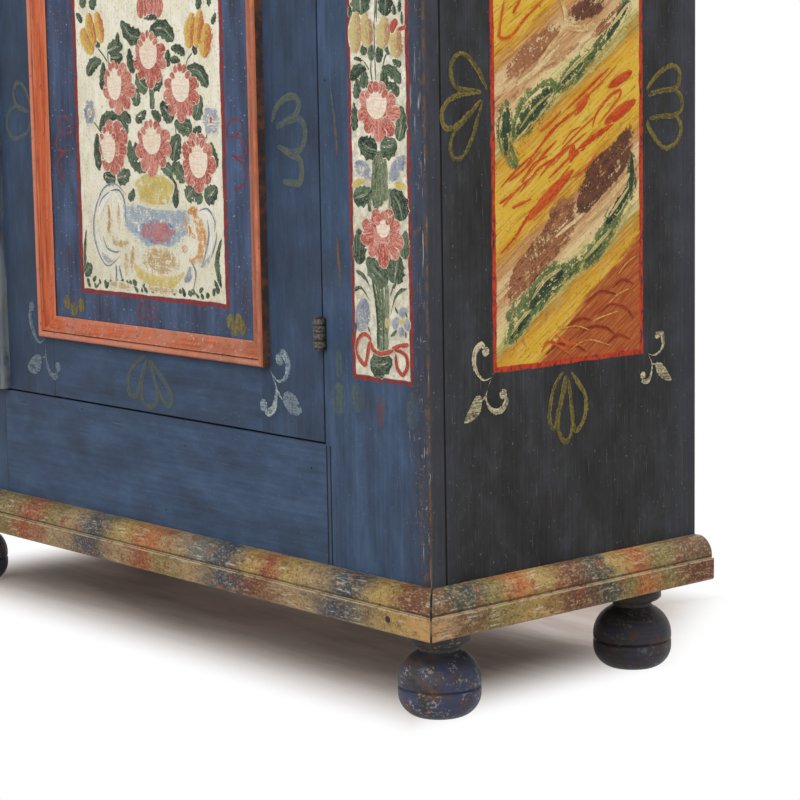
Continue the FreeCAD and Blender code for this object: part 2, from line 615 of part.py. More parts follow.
def make_lock():
    """Lock on the inside of the door, with its bolt drawn back, and a strike plate on the stile."""
    z0 = LOCK_MIDDLE - LOCK_HEIGHT / 2
    z1 = z0 + LOCK_HEIGHT
    x1 = LOCK_LEFT + LOCK_WIDTH
    case = box(LOCK_LEFT, x1, FRAME_BACK, FRAME_BACK + LOCK_DEPTH, z0, z1)
    case = case.cut(box(LOCK_LEFT + LOCK_WALL, x1 - LOCK_WALL, FRAME_BACK,
                        FRAME_BACK + LOCK_DEPTH - LOCK_WALL, z0 + LOCK_WALL, z1 - LOCK_WALL))
    slot = box(LOCK_LEFT, LOCK_LEFT + LOCK_WALL, BOLT_FRONT - BOLT_CLEARANCE,
               BOLT_FRONT + BOLT_THICKNESS + BOLT_CLEARANCE, BOLT_BOTTOM - BOLT_CLEARANCE,
               BOLT_BOTTOM + BOLT_HEIGHT + BOLT_CLEARANCE)
    save("lock_case", case.cut(slot))
    save("lock_bolt", box(LOCK_LEFT, LOCK_LEFT + BOLT_LENGTH, BOLT_FRONT,
                          BOLT_FRONT + BOLT_THICKNESS, BOLT_BOTTOM, BOLT_BOTTOM + BOLT_HEIGHT))
    strike_right = OPENING_LEFT - STRIKE_INSET
    strike_middle = BOLT_BOTTOM + BOLT_HEIGHT / 2
    save("strike_plate", box(strike_right - STRIKE_WIDTH, strike_right, FRAME_BACK,
                             FRAME_BACK + STRIKE_THICKNESS, strike_middle - STRIKE_HEIGHT / 2,
                             strike_middle + STRIKE_HEIGHT / 2))


def make_key():
    """Key standing in the lock, and the plate round the keyhole."""
    back = vec(0, 1, 0)
    outer = FRONT - KEY_OUTSIDE
    inner = FRAME_BACK + KEY_INSIDE
    shank = rod(KEY_X, outer, KEY_Z, KEY_RADIUS, inner - outer, back)
    bit = box(KEY_X - KEY_BIT_THICKNESS / 2, KEY_X + KEY_BIT_THICKNESS / 2,
              inner - KEY_BIT_WIDTH, inner, KEY_Z - KEY_BIT_REACH, KEY_Z)
    bow = Part.makeTorus(KEY_BOW_RADIUS, KEY_BOW_WIRE, vec(KEY_X, outer - KEY_BOW_RADIUS, KEY_Z),
                         vec(1, 0, 0))
    save("key", shank.fuse(bit).fuse(bow))
    middle = KEY_Z - KEY_BIT_REACH / 2
    plate = box(KEY_X - PLATE_WIDTH / 2, KEY_X + PLATE_WIDTH / 2, FRONT - PLATE_THICKNESS, FRONT,
                middle - PLATE_HEIGHT / 2, middle + PLATE_HEIGHT / 2)
    plate = plate.makeFillet(PLATE_WIDTH / 3, [e for e in plate.Edges if is_along_y(e)])
    save("keyhole_plate", plate.cut(keyhole(FRONT - PLATE_THICKNESS, PLATE_THICKNESS)))


def is_along_y(edge):
    ends = [v.Point for v in edge.Vertexes]
    return abs(ends[0].y - ends[1].y) > abs(ends[0].x - ends[1].x) + abs(ends[0].z - ends[1].z)


os.makedirs("parts", exist_ok=True)
make_front_frame()
make_carcase()
make_back()
make_shelves()
make_case_mouldings()
make_feet()
make_door_frame()
make_door_panels()
make_panel_mouldings()
make_cover_strip()
make_hinges()
make_lock()
make_key()
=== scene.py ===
import math
import random

import bmesh
import bpy
from mathutils import Matrix, Vector


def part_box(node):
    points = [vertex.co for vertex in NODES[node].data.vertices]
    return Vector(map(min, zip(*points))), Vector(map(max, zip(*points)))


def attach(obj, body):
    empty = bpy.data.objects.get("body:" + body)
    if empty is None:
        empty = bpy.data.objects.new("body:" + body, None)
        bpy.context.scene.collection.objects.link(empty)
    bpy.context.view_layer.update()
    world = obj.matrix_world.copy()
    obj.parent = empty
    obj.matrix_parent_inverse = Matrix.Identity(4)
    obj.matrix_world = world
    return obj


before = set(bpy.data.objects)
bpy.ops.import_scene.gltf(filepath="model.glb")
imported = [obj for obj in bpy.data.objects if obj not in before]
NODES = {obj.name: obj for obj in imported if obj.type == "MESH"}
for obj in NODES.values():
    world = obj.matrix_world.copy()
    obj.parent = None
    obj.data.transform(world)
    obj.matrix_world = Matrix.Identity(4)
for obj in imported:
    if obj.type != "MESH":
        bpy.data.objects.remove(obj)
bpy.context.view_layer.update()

# All places and sizes below are millimetres in the frame of the part, unless they say otherwise.
MM = 0.001

# Pitch of the turns on a hinge barrel
KNUCKLE = 9.25


def box_of(node):
    """Lowest and highest corner of a node, in millimetres."""
    low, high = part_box(node)
    return low / MM, high / MM


# Faces that carry paint, read from the frame
FRONT = box_of("front_stile_right")[0].y
BACK = box_of("back_board_3")[1].y
SIDE = box_of("side_board_right")[1].x
PANEL_FACE = box_of("door_panel_lower")[0].y
PANEL_RISE = box_of("door_panel_upper")[0].z - box_of("door_panel_lower")[0].z
MOULDING_LOW = box_of("panel_moulding_lower_left")[0]
MOULDING_HIGH = box_of("panel_moulding_lower_right")[1]
JOINT = box_of("front_stile_right")[0].x
SEAM_MIDDLE, SEAM_REACH = JOINT + 4.5, 3.5
CORNER_JOINT = box_of("front_stile_right")[1].y
STRIP_EDGE = box_of("cover_strip")[1].x
RAIL_TOP = box_of("front_rail_bottom")[1].z
BASE_LOW, BASE_HIGH = box_of("base_moulding_front")
BASE_EDGE = BASE_LOW.z + 27.0
CORNICE_EDGE = 1898.0

# Painted fields: left end, bottom, width and height of the lower one of each pair
DOOR_FIELD = (-113.0, 465.0, 310.5, 448.5)
DOOR_CORNER = (-116.5, 465.0)
STILE_FIELD = (445.0, 400.0, 94.5, 578.0)
STILE_CORNER = (441.5, 400.0)
SIDE_FIELD = (-87.0, 408.0, 236.5, 600.0)
SIDE_CORNER = (-94.0, 401.0)
DOOR_LINE = 8.0
CASE_LINE = 6.0
LINE_LEVEL = 6.0
SPLIT = SIDE_FIELD[1] + (SIDE_FIELD[3] + PANEL_RISE) / 2

# Brush strokes: how thick a film of paint is and how much each later one lies over it
FILM = 0.09
OVERLAP = 0.0037
OVERLAPS = 24
SUNK = 0.15
SOFT_EDGE = 1.5
CURVE_STEPS = 9
RING_STEPS = 22
TIP_COVER = 0.2
TIP_STRIDE = 9
SHEEN = 0.12

# Which way the seed of a noise moves it
SEED_WAY = (7.3, 3.1, 5.7)


def srgb(red, green, blue):
    """A colour given as 0 to 255 screen values, as linear RGBA."""
    def linear(value):
        share = value / 255.0
        if share <= 0.04045:
            return share / 12.92
        return ((share + 0.055) / 1.055) ** 2.4
    return (linear(red), linear(green), linear(blue), 1.0)


def add_node(tree, kind, inputs, **settings):
    """A shader node with its settings, its inputs set to values or linked to sockets."""
    node = tree.nodes.new("ShaderNode" + kind)
    for name, value in settings.items():
        setattr(node, name, value)
    for key, value in inputs.items():
        socket = node.inputs[key]
        if isinstance(value, bpy.types.NodeSocket):
            tree.links.new(value, socket)
        elif socket.type == "RGBA":
            socket.default_value = srgb(*value)
        else:
            socket.default_value = value
    return node


class Graph:
    """The nodes of one material. Methods add nodes and return sockets; places are in millimetres."""

    def __init__(self, name):
        self.material = bpy.data.materials.new(name)
        self.material.use_nodes = True
        self.tree = self.material.node_tree
        self.tree.nodes.clear()
        coordinates = self.node("TexCoord", {})
        self.place = self.scaled(coordinates.outputs["Object"], 1.0 / MM)
        self.x, self.y, self.z = self.split(self.place)
        self.facing = self.split(coordinates.outputs["Normal"])
        upper = self.math("GREATER_THAN", self.z, SPLIT)
        self.level = self.add(self.z, self.times(upper, -PANEL_RISE))

    def node(self, kind, inputs, **settings):
        return add_node(self.tree, kind, inputs, **settings)

    def scaled(self, vector, scale):
        return self.node("VectorMath", {0: vector, "Scale": scale}, operation="SCALE").outputs[0]

    def split(self, vector):
        return tuple(self.node("SeparateXYZ", {0: vector}).outputs)

    def join(self, x, y, z=0.0):
        return self.node("CombineXYZ", {0: x, 1: y, 2: z}).outputs[0]

    def math(self, operation, *values):
        return self.node("Math", dict(enumerate(values)), operation=operation).outputs[0]

    def add(self, first, second):
        return self.math("ADD", first, second)

    def times(self, first, second):
        return self.math("MULTIPLY", first, second)

    def apart(self, value, middle):
        """How far a value is from the middle."""
        return self.math("ABSOLUTE", self.add(value, -middle))

    def step(self, value, low, high):
        """0 up to low, 1 from high, smooth between."""
        inputs = {"Value": value, "From Min": low, "From Max": high}
        return self.node("MapRange", inputs, interpolation_type="SMOOTHSTEP").outputs[0]

    def blend(self, first, second, share):
        """The share of the first value and the rest of the second."""
        return self.add(self.times(first, share), self.times(second, 1.0 - share))

    def mix(self, factor, first, second):
        return self.node("Mix", {0: factor, 6: first, 7: second}, data_type="RGBA").outputs[2]

    def tint(self, colour, mask, strength, other):
        """The colour with some of another one where the mask is 1."""
        return self.mix(self.times(mask, strength), colour, other)

    def ramp(self, factor, *stops):
        """Colours at positions from 0 to 1 of the factor."""
        node = self.node("ValToRGB", {0: factor})
        elements = node.color_ramp.elements
        while len(elements) < len(stops):
            elements.new(0.5)
        for element, (position, colour) in zip(elements, stops):
            element.position = position
            element.color = srgb(*colour)
        return node.outputs["Color"]

    def patches(self, along, start, parts):
        """Colours that follow each other along a moulding, each given with where it ends."""
        length = parts[-1][1] - start
        stops = []
        left = start
        for colour, right in parts:
            stops.append((((left + right) / 2 - start) / length, MARBLE[colour]))
            left = right
        colour = self.ramp(self.math("MULTIPLY_ADD", along, 1 / length, -start / length), *stops)
        colour.node.color_ramp.interpolation = "EASE"
        return colour

    def noise_at(self, vector, detail, roughness):
        inputs = {"Vector": vector, "Scale": 1.0, "Detail": detail, "Roughness": roughness}
        return self.node("TexNoise", inputs).outputs[0]

    def noise(self, size, detail=3.0, roughness=0.55, seed=0.0):
        """Soft noise whose patches are about size = (x, y, z) millimetres large."""
        inputs = {0: self.place, 1: tuple(1.0 / length for length in size),
                  2: tuple(seed * part for part in SEED_WAY)}
        shifted = self.node("VectorMath", inputs, operation="MULTIPLY_ADD").outputs[0]
        return self.noise_at(shifted, detail, roughness)

    def mottle(self, size, low, high, seed, detail=5.0, roughness=0.62):
        """A mask of cloudy patches about size millimetres large; 1 where the noise is past high."""
        return self.step(self.noise((size, size, size), detail, roughness, seed), low, high)

    def streaks(self, along, width, length, seed, detail=6.0):
        """Noise drawn out along a board."""
        size = [width, width, width]
        size["xyz".index(along)] = length
        return self.noise(size, detail=detail, roughness=0.66, seed=seed)

    def brush_noise(self, length, width):
        """Noise in streaks along a brush stroke."""
        along = self.times(self.attribute("along"), 1.0 / length)
        beside = self.times(self.attribute("beside"), 1.0 / width)
        return self.noise_at(self.join(along, beside), 3.0, 0.6)

    def specks(self, size, share, seed):
        """1 on a few small flecks."""
        dots = self.noise((size, size, 1.4 * size), detail=1.0, seed=seed)
        return self.step(dots, 0.80 - share, 0.86 - share)

    def spots(self, spacing, radius):
        """1 inside round spots that are strewn about spacing apart."""
        inputs = {"Vector": self.scaled(self.place, 1.0 / spacing), "Scale": 1.0}
        distance = self.node("TexVoronoi", inputs).outputs["Distance"]
        return self.step(distance, radius / spacing, 0.7 * radius / spacing)

    def attribute(self, name):
        return self.node("Attribute", {}, attribute_name=name).outputs["Fac"]

    def edges(self, width):
        """1 along the rims of a piece, up to about width from them."""
        rounded = self.node("Bevel", {"Radius": width * MM}, samples=4).outputs[0]
        straight = self.node("NewGeometry", {}).outputs["Normal"]
        same = self.node("VectorMath", {0: rounded, 1: straight}, operation="DOT_PRODUCT").outputs["Value"]
        return self.step(same, 0.995, 0.86)

    def inside(self, across, field, grow_across=0.0, grow_up=0.0):
        """1 inside a painted field with a hand-drawn rim, grown by the two amounts."""
        left, bottom, width, height = field
        wobble = self.times(self.add(self.noise((26.0, 26.0, 26.0), detail=5.0, seed=grow_up), -0.5), 5.0)
        out_across = self.add(self.apart(across, left + width / 2), -width / 2 - grow_across)
        out_up = self.add(self.apart(self.level, bottom + height / 2), -height / 2 - grow_up)
        return self.step(self.add(self.math("MAXIMUM", out_across, out_up), wobble), 0.8, -0.8)

    def finish(self, colour, roughness, height=None, relief=0.3, metallic=0.0, specular=SHEEN):
        """Ends the graph in a surface, bumped by the height where one is given."""
        inputs = {"Base Color": colour, "Roughness": roughness, "Metallic": metallic,
                  "Specular IOR Level": specular}
        if height is not None:
            inputs["Normal"] = self.node("Bump", {"Distance": relief * MM, "Height": height}).outputs[0]
        shader = self.node("BsdfPrincipled", inputs)
        self.node("OutputMaterial", {0: shader.outputs[0]})
        return self.material

    def board(self, colour, fine, gain, least, relief):
        """Ends the graph in a surface that its fine marks bump, and roughen from least up by gain."""
        return self.finish(colour, self.math("MULTIPLY_ADD", fine, gain, least), fine, relief)


# Grounds: what a painted or bare surface looks like before anything is painted on it

RUBBED_WOOD = (112, 84, 60)
BLACK_LINE = (20, 20, 24)


def wood(g, along="z"):
    """Bare softwood, browned with age."""
    lines = g.streaks(along, 3.5, 260.0, 1.0)
    broad = g.streaks(along, 38.0, 900.0, 2.0)
    tone = g.blend(lines, broad, 0.55)
    colour = g.ramp(tone, (0.32, (98, 70, 44)), (0.48, (150, 113, 74)), (0.66, (180, 144, 100)))
    return g.tint(colour, g.mottle(160.0, 0.52, 0.74, 3.0), 0.45, (96, 72, 50)), lines


def blue(g, along="z"):
    """Old blue paint, brushed along the board, rubbed and specked."""
    fine = g.streaks(along, 5.0, 160.0, 0.0)
    cloud = g.streaks(along, 46.0, 110.0, 2.0, 7.0)
    tone = g.blend(fine, cloud, 0.3)
    colour = g.ramp(tone, (0.32, (48, 58, 74)), (0.49, (61, 79, 104)), (0.67, (76, 99, 130)))
    colour = g.tint(colour, g.mottle(130.0, 0.48, 0.70, 4.0), 0.5, (56, 62, 72))
    colour = g.tint(colour, g.mottle(7.0, 0.62, 0.74, 5.0), 0.35, (92, 84, 80))
    colour = g.tint(colour, g.specks(2.6, 0.10, 5.0), 0.4, (140, 148, 158))
    colour = g.tint(colour, g.step(g.streaks(along, 2.0, 70.0, 42.0, 2.0), 0.70, 0.76), 0.35,
                    (126, 134, 144))
    return g.mix(g.spots(52.0, 1.5), colour, BLACK_LINE), fine


def panel_blue(g):
    """The violet-blue inside the door mouldings, rubbed to brown and white."""
    fine = g.streaks("z", 6.0, 120.0, 6.0)
    tone = g.blend(fine, g.noise((26.0, 26.0, 80.0), detail=6.0, seed=7.0), 0.4)
    colour = g.ramp(tone, (0.34, (50, 54, 68)), (0.49, (66, 80, 106)), (0.64, (80, 100, 134)))
    brown = g.step(g.streaks("z", 14.0, 90.0, 8.0), 0.54, 0.70)
    colour = g.tint(colour, brown, 0.5, (92, 66, 64))
    return g.tint(colour, g.mottle(3.6, 0.65, 0.71, 9.0, 3.0), 0.75, (178, 182, 190)), fine


def dark(g):
    """The almost black sides, with brown rubbing, pale scratches and specks."""
    fine = g.streaks("z", 4.0, 120.0, 10.0)
    cloud = g.noise((44.0, 44.0, 70.0), detail=6.0, roughness=0.65, seed=12.0)
    tone = g.blend(fine, cloud, 0.35)
    colour = g.ramp(tone, (0.36, (37, 37, 38)), (0.50, (50, 51, 53)), (0.62, (62, 65, 71)))
    brown = g.step(g.streaks("z", 7.0, 150.0, 11.0), 0.57, 0.72)
    colour = g.tint(colour, brown, 0.4, (72, 62, 54))
    rims = g.math("MAXIMUM", g.step(g.y, 190.0, 232.0), g.step(g.y, -130.0, -185.0))
    colour = g.tint(colour, rims, 0.35, (74, 80, 92))
    scratch = g.step(g.streaks("z", 2.4, 42.0, 43.0, 2.0), 0.66, 0.71)
    colour = g.tint(colour, scratch, 0.45, (104, 98, 92))
    return g.tint(colour, g.specks(3.2, 0.07, 13.0), 0.4, (150, 148, 142)), fine


def ivory(g):
    """The pale ground of the flower pieces, flecked all over and soiled towards its foot."""
    cloud = g.noise((24.0, 24.0, 36.0), detail=6.0, roughness=0.6, seed=14.0)
    fine = g.noise((2.2, 2.2, 3.4), detail=4.0, roughness=0.7, seed=15.0)
    colour = g.ramp(cloud, (0.34, (226, 221, 196)), (0.50, (239, 236, 214)), (0.66, (246, 244, 230)))
    colour = g.tint(colour, g.step(g.level, 720.0, 470.0), 0.35, (206, 202, 178))
    on_stile = g.step(g.math("ABSOLUTE", g.x), SIDE - 180.0, SIDE - 160.0)
    soiled = g.times(on_stile, g.mottle(13.0, 0.40, 0.60, 17.0))
    colour = g.tint(colour, soiled, 0.55, (162, 160, 146))
    colour = g.tint(colour, g.mottle(60.0, 0.56, 0.76, 16.0), 0.35, (200, 184, 148))
    colour = g.tint(colour, g.step(g.streaks("z", 3.4, 44.0, 61.0, 3.0), 0.50, 0.64), 0.4, (200, 202, 184))
    colour = g.tint(colour, g.step(fine, 0.56, 0.66), 0.6, (140, 138, 118))
    return g.tint(colour, g.step(fine, 0.42, 0.28), 0.5, (242, 240, 226)), fine


def vase_body(g):
    """The thin pale blue of the vase, with the ivory showing through."""
    pale, fine = ivory(g)
    body = g.mix(g.mottle(9.0, 0.36, 0.64, 62.0), (106, 132, 162), (168, 180, 188))
    return g.mix(g.mottle(4.0, 0.60, 0.68, 63.0, 2.0), body, pale), fine


BAND_SLOPE = 0.65
BAND_ANGLE = math.atan(BAND_SLOPE)
BAND_PERIOD, BAND_START = 228.0, 243.0
RED_SLOPE, RED_FROM, RED_FULL = 0.8, -42.0, -56.0
SCRIBBLES = 14
GRASS_BLADES, GRASS_STEP = 46, 6.4


def bands(g):
    """Slanting bands of ochre, cream and pale green brushed thickly across a side field."""
    across = g.add(g.y, -SIDE_CORNER[0])
    height = g.add(g.level, -SIDE_CORNER[1])
    rise = g.add(height, g.times(across, -BAND_SLOPE))
    run = g.add(across, g.times(height, BAND_SLOPE))
    hairs = g.noise_at(g.join(g.times(run, 1 / 46.0), g.times(rise, 1 / 3.4)), 4.0, 0.62)
    pulls = g.noise_at(g.join(g.times(run, 1 / 120.0), g.times(rise, 1 / 16.0), 4.0), 4.0, 0.6)
    drift = g.add(g.times(g.add(hairs, -0.5), 46.0), g.times(g.add(pulls, -0.5), 70.0))
    shifted = g.add(rise, drift)
    turns = g.math("DIVIDE", g.add(shifted, 10 * BAND_PERIOD - BAND_START), BAND_PERIOD)
    turn = g.math("FRACT", turns)
    ochre, amber, cream = (220, 176, 54), (204, 148, 52), (232, 206, 158)
    pink, pale, moss = (196, 146, 102), (228, 216, 156), (174, 162, 90)
    colour = g.ramp(
        turn, (0.0, moss), (0.08, pale), (0.16, cream), (0.24, pink), (0.33, cream), (0.40, pink),
        (0.47, amber), (0.54, ochre), (0.72, (228, 190, 72)), (0.88, ochre), (0.95, amber), (1.0, moss))
    colour = g.tint(colour, g.step(hairs, 0.52, 0.61), 0.4, (232, 208, 136))
    colour = g.tint(colour, g.step(hairs, 0.46, 0.34), 0.55, (134, 86, 42))
    over_corner = g.add(height, g.times(across, -RED_SLOPE))
    red = g.step(g.add(over_corner, g.times(drift, 0.5)), RED_FROM, RED_FULL)
    colour = g.mix(red, colour, g.mix(g.step(hairs, 0.40, 0.62), (160, 76, 42), (190, 112, 60)))
    colour = g.tint(colour, g.mottle(3.2, 0.60, 0.70, 19.0, 2.0), 0.5, (96, 64, 38))
    return g.tint(colour, g.mottle(12.0, 0.60, 0.76, 20.0), 0.4, (120, 82, 48)), hairs


MARBLE = {
    "slate": (60, 72, 86), "olive": (134, 120, 74), "gold": (168, 142, 84), "red": (150, 82, 58),
    "orange": (176, 108, 62), "buff": (160, 136, 102), "umber": (112, 86, 66), "grey": (112, 114, 108),
    "rust": (110, 70, 54), "teal": (66, 76, 70)}

# Dabbed patches of the base, as colour and far end: the slope and the fascia of the front, then of the sides
PATCH_DRIFT = 80.0
FRONT_SLOPE = (("slate", -560), ("gold", -500), ("red", -440), ("buff", -390), ("slate", -330),
    ("olive", -242), ("red", -192), ("olive", -155), ("buff", -107), ("slate", -26), ("gold", 11),
    ("orange", 88), ("buff", 137), ("grey", 183), ("slate", 249), ("gold", 288), ("red", 318),
    ("gold", 365), ("buff", 411), ("slate", 491), ("gold", 535), ("rust", 585), ("umber", 630))
FRONT_FASCIA = (("olive", -500), ("slate", -420), ("umber", -330), ("olive", -250), ("red", -220),
    ("buff", -105), ("slate", -42), ("buff", 25), ("red", 55), ("olive", 115), ("buff", 182),
    ("slate", 253), ("rust", 311), ("buff", 405), ("slate", 477), ("gold", 630))
SIDE_SLOPE = (("umber", -190), ("teal", -125), ("olive", -102), ("orange", -47), ("gold", -33),
    ("rust", 43), ("teal", 75), ("gold", 97), ("orange", 138), ("olive", 170), ("umber", 264))
SIDE_FASCIA = (("buff", -190), ("umber", -143), ("olive", -91), ("gold", -27), ("rust", 49), ("teal", 83),
    ("olive", 121), ("orange", 144), ("olive", 176), ("rust", 264))


def marble(g, run):
    """Dabbed patches of slate, olive, red and buff that follow each other along a moulding."""
    on_base = g.step(g.z, BASE_EDGE + 0.5, BASE_EDGE - 0.5)
    low = g.math("MAXIMUM", on_base, g.step(g.z, CORNICE_EDGE, CORNICE_EDGE + 1.0))
    warp = g.add(g.noise((24.0, 24.0, 10.0), detail=6.0, roughness=0.7, seed=21.0), -0.5)
    if run == "x":
        along, start, slope, fascia = g.x, BASE_LOW.x, FRONT_SLOPE, FRONT_FASCIA
    else:
        along, start, slope, fascia = g.y, BASE_LOW.y, SIDE_SLOPE, SIDE_FASCIA
    along = g.add(along, g.times(warp, PATCH_DRIFT))
    colour = g.mix(low, g.patches(along, start, slope), g.patches(along, start, fascia))
    dab = g.noise((15.0, 15.0, 8.0), detail=7.0, roughness=0.72, seed=22.0)
    fleck = g.noise((4.0, 4.0, 3.0), detail=3.0, roughness=0.7, seed=38.0)
    drag = g.streaks(run, 3.0, 30.0, 23.0, detail=4.0)
    colour = g.tint(colour, g.step(dab, 0.52, 0.62), 0.55, (116, 88, 62))
    colour = g.tint(colour, g.step(dab, 0.47, 0.38), 0.45, (182, 158, 112))
    colour = g.tint(colour, g.mottle(22.0, 0.56, 0.66, 50.0), 0.6, (148, 78, 54))
    colour = g.tint(colour, g.step(fleck, 0.54, 0.64), 0.6, (62, 50, 44))
    colour = g.tint(colour, g.step(fleck, 0.45, 0.36), 0.4, (206, 188, 150))
    scuffs = g.times(g.step(drag, 0.55, 0.66), g.mottle(34.0, 0.46, 0.58, 39.0))
    colour = g.tint(colour, scuffs, 0.7, (206, 200, 184))
    colour = g.tint(colour, g.step(drag, 0.43, 0.32), 0.55, (60, 52, 48))
    # Along the ledge: a cream line, partly wear and partly a painted highlight on the arris
    upright = g.step(g.facing[2], 0.7, 0.4)
    worn = g.times(upright, g.times(g.step(g.apart(g.z, BASE_EDGE), 2.0, 0.8), g.step(dab, 0.62, 0.50)))
    colour = g.tint(colour, worn, 0.7, (210, 196, 160))
    # Painted shade: a dark line in the crease just above the ledge, at the foot of the slope
    colour = g.tint(colour, g.step(g.apart(g.z, BASE_EDGE + 2.2), 2.0, 0.8), 0.6, (48, 40, 36))
    mitre = g.apart(g.add(g.math("ABSOLUTE", g.x), g.y), BASE_HIGH.x + BASE_LOW.y)
    corner = g.times(g.times(low, g.step(mitre, 60.0, 10.0)), g.step(dab, 0.56, 0.46))
    colour = g.tint(colour, corner, 0.7, (198, 150, 104))
    return g.mix(g.step(mitre, 2.4, 1.2), colour, BLACK_LINE), dab


def rub(g, colour, amount, bare, width=4.0):
    """Paint worn off along the rims."""
    broken = g.noise((16.0, 16.0, 30.0), detail=5.0, seed=24.0)
    return g.tint(colour, g.times(g.edges(width), g.step(broken, 0.40, 0.62)), amount, bare)


def bare_inside(g, colour, hidden, along="z"):
    """Bare wood where the hidden mask is 1."""
    plain, _ = wood(g, along)
    return g.mix(hidden, colour, plain)


def field_paint(g, colour, across, field, inner, width, lines=((100, 38, 40), (152, 62, 58))):
    """An inner ground with a red line of some width round it, on a surface of another colour."""
    patchy = g.noise((4.0, 4.0, 9.0), detail=4.0, roughness=0.7, seed=25.0)
    line = g.mix(g.step(patchy, 0.3, 0.7), *lines)
    covered = g.math("MINIMUM", g.step(patchy, 0.32, 0.50), g.inside(across, field, width, LINE_LEVEL))
    colour = g.mix(covered, colour, line)
    return g.mix(g.inside(across, field), colour, inner)


def front_board(name, along, side=0, soot=0.0):
    """Blue board of the front, darkened by soot and bare inside; side is +1 or -1 on a corner stile."""
    g = Graph(name)
    colour, fine = blue(g, along)
    colour = g.tint(colour, g.mottle(90.0, 0.20, 0.50, 54.0), soot, (40, 46, 58))
    colour = rub(g, colour, 0.55, (78, 68, 62), 3.0)
    if side:
        across = g.times(g.x, side)
        worn = g.add(across, g.times(g.noise((20.0, 20.0, 60.0), detail=5.0, seed=34.0), 60.0))
        dirty = g.step(worn, SIDE - 22.0, SIDE + 34.0)
        colour = g.tint(colour, dirty, 0.75, (62, 61, 66))
        colour = g.tint(colour, g.times(dirty, g.mottle(12.0, 0.58, 0.66, 51.0)), 0.7, (108, 84, 68))
        soot_streak = g.step(g.streaks("z", 7.0, 110.0, 57.0, 4.0), 0.50, 0.64)
        colour = g.tint(colour, g.times(dirty, soot_streak), 0.6, (44, 44, 48))
        colour = g.tint(colour, g.times(dirty, g.mottle(4.0, 0.66, 0.71, 52.0, 2.0)), 0.7, (164, 158, 150))
        scratch = g.step(g.streaks("z", 3.4, 44.0, 55.0, 2.0), 0.64, 0.70)
        colour = g.tint(colour, g.times(dirty, scratch), 0.75, (176, 174, 172))
        bared = g.times(g.step(across, SIDE - 7.0, SIDE - 2.0), g.mottle(16.0, 0.42, 0.58, 60.0))
        colour = g.tint(colour, bared, 0.8, (104, 80, 62))
        pale, _ = ivory(g)
        colour = field_paint(g, colour, across, STILE_FIELD, pale, CASE_LINE)
        seams = g.step(g.apart(g.apart(across, SEAM_MIDDLE), SEAM_REACH), 1.6, 0.7)
        seams = g.times(seams, g.step(g.z, RAIL_TOP, RAIL_TOP - 2.0))
        colour = g.mix(seams, colour, BLACK_LINE)
        flank, _ = dark(g)
        flank = rub(g, flank, 0.7, (104, 84, 66), 6.0)
        flank = g.mix(g.step(g.y, CORNER_JOINT - 2.4, CORNER_JOINT - 1.4), flank, BLACK_LINE)
        colour = g.mix(g.step(g.times(g.facing[0], side), 0.5, 0.8), colour, flank)
    colour = bare_inside(g, colour, g.step(g.facing[1], 0.4, 0.7), along)
    return g.board(colour, fine, 0.25, 0.40, 0.4)


def cover_paint():
    """The strip over the closing edge: the blue of the front, dirtier and rubbed pale on its face."""
    g = Graph("cover_paint")
    colour, fine = blue(g)
    colour = g.tint(colour, g.streaks("z", 30.0, 140.0, 36.0), 0.4, (88, 94, 98))
    colour = g.tint(colour, g.mottle(24.0, 0.52, 0.64, 44.0), 0.7, (98, 80, 66))
    pale = g.times(g.step(g.facing[1], -0.85, -0.97), g.mottle(34.0, 0.42, 0.58, 45.0))
    colour = g.tint(colour, pale, 0.2, (140, 140, 132))
    pulls = g.step(g.streaks("z", 20.0, 160.0, 58.0), 0.40, 0.58)
    rim = g.times(g.step(g.x, STRIP_EDGE - 14.0, STRIP_EDGE - 3.0), pulls)
    colour = g.tint(colour, rim, 0.7, (136, 146, 146))
    foot = g.times(g.step(g.z, 520.0, 380.0), g.mottle(30.0, 0.36, 0.58, 59.0))
    colour = g.tint(colour, foot, 0.5, (132, 140, 138))
    return g.board(rub(g, colour, 0.8, RUBBED_WOOD), fine, 0.25, 0.40, 0.4)


def panel_board():
    """The door panels: violet-blue with the ivory field of the flower piece."""
    g = Graph("door_panel")
    colour, fine = panel_blue(g)
    pale, _ = ivory(g)
    colour = field_paint(g, colour, g.x, DOOR_FIELD, pale, DOOR_LINE)
    colour = bare_inside(g, colour, g.step(g.facing[1], 0.4, 0.7))
    return g.board(colour, fine, 0.2, 0.45, 0.3)


def side_board(name, outward):
    """A dark side with its banded fields; outward is +1 on the right side and -1 on the left."""
    g = Graph(name)
    colour, fine = dark(g)
    colour = rub(g, colour, 0.7, RUBBED_WOOD)
    colour = g.mix(g.step(g.y, CORNER_JOINT + 1.6, CORNER_JOINT + 0.8), colour, BLACK_LINE)
    banded, _ = bands(g)
    colour = field_paint(g, colour, g.y, SIDE_FIELD, banded, CASE_LINE, ((156, 46, 32), (204, 76, 46)))
    colour = bare_inside(g, colour, g.step(g.times(g.facing[0], -outward), 0.4, 0.7))
    return g.board(colour, fine, 0.25, 0.42, 0.5)


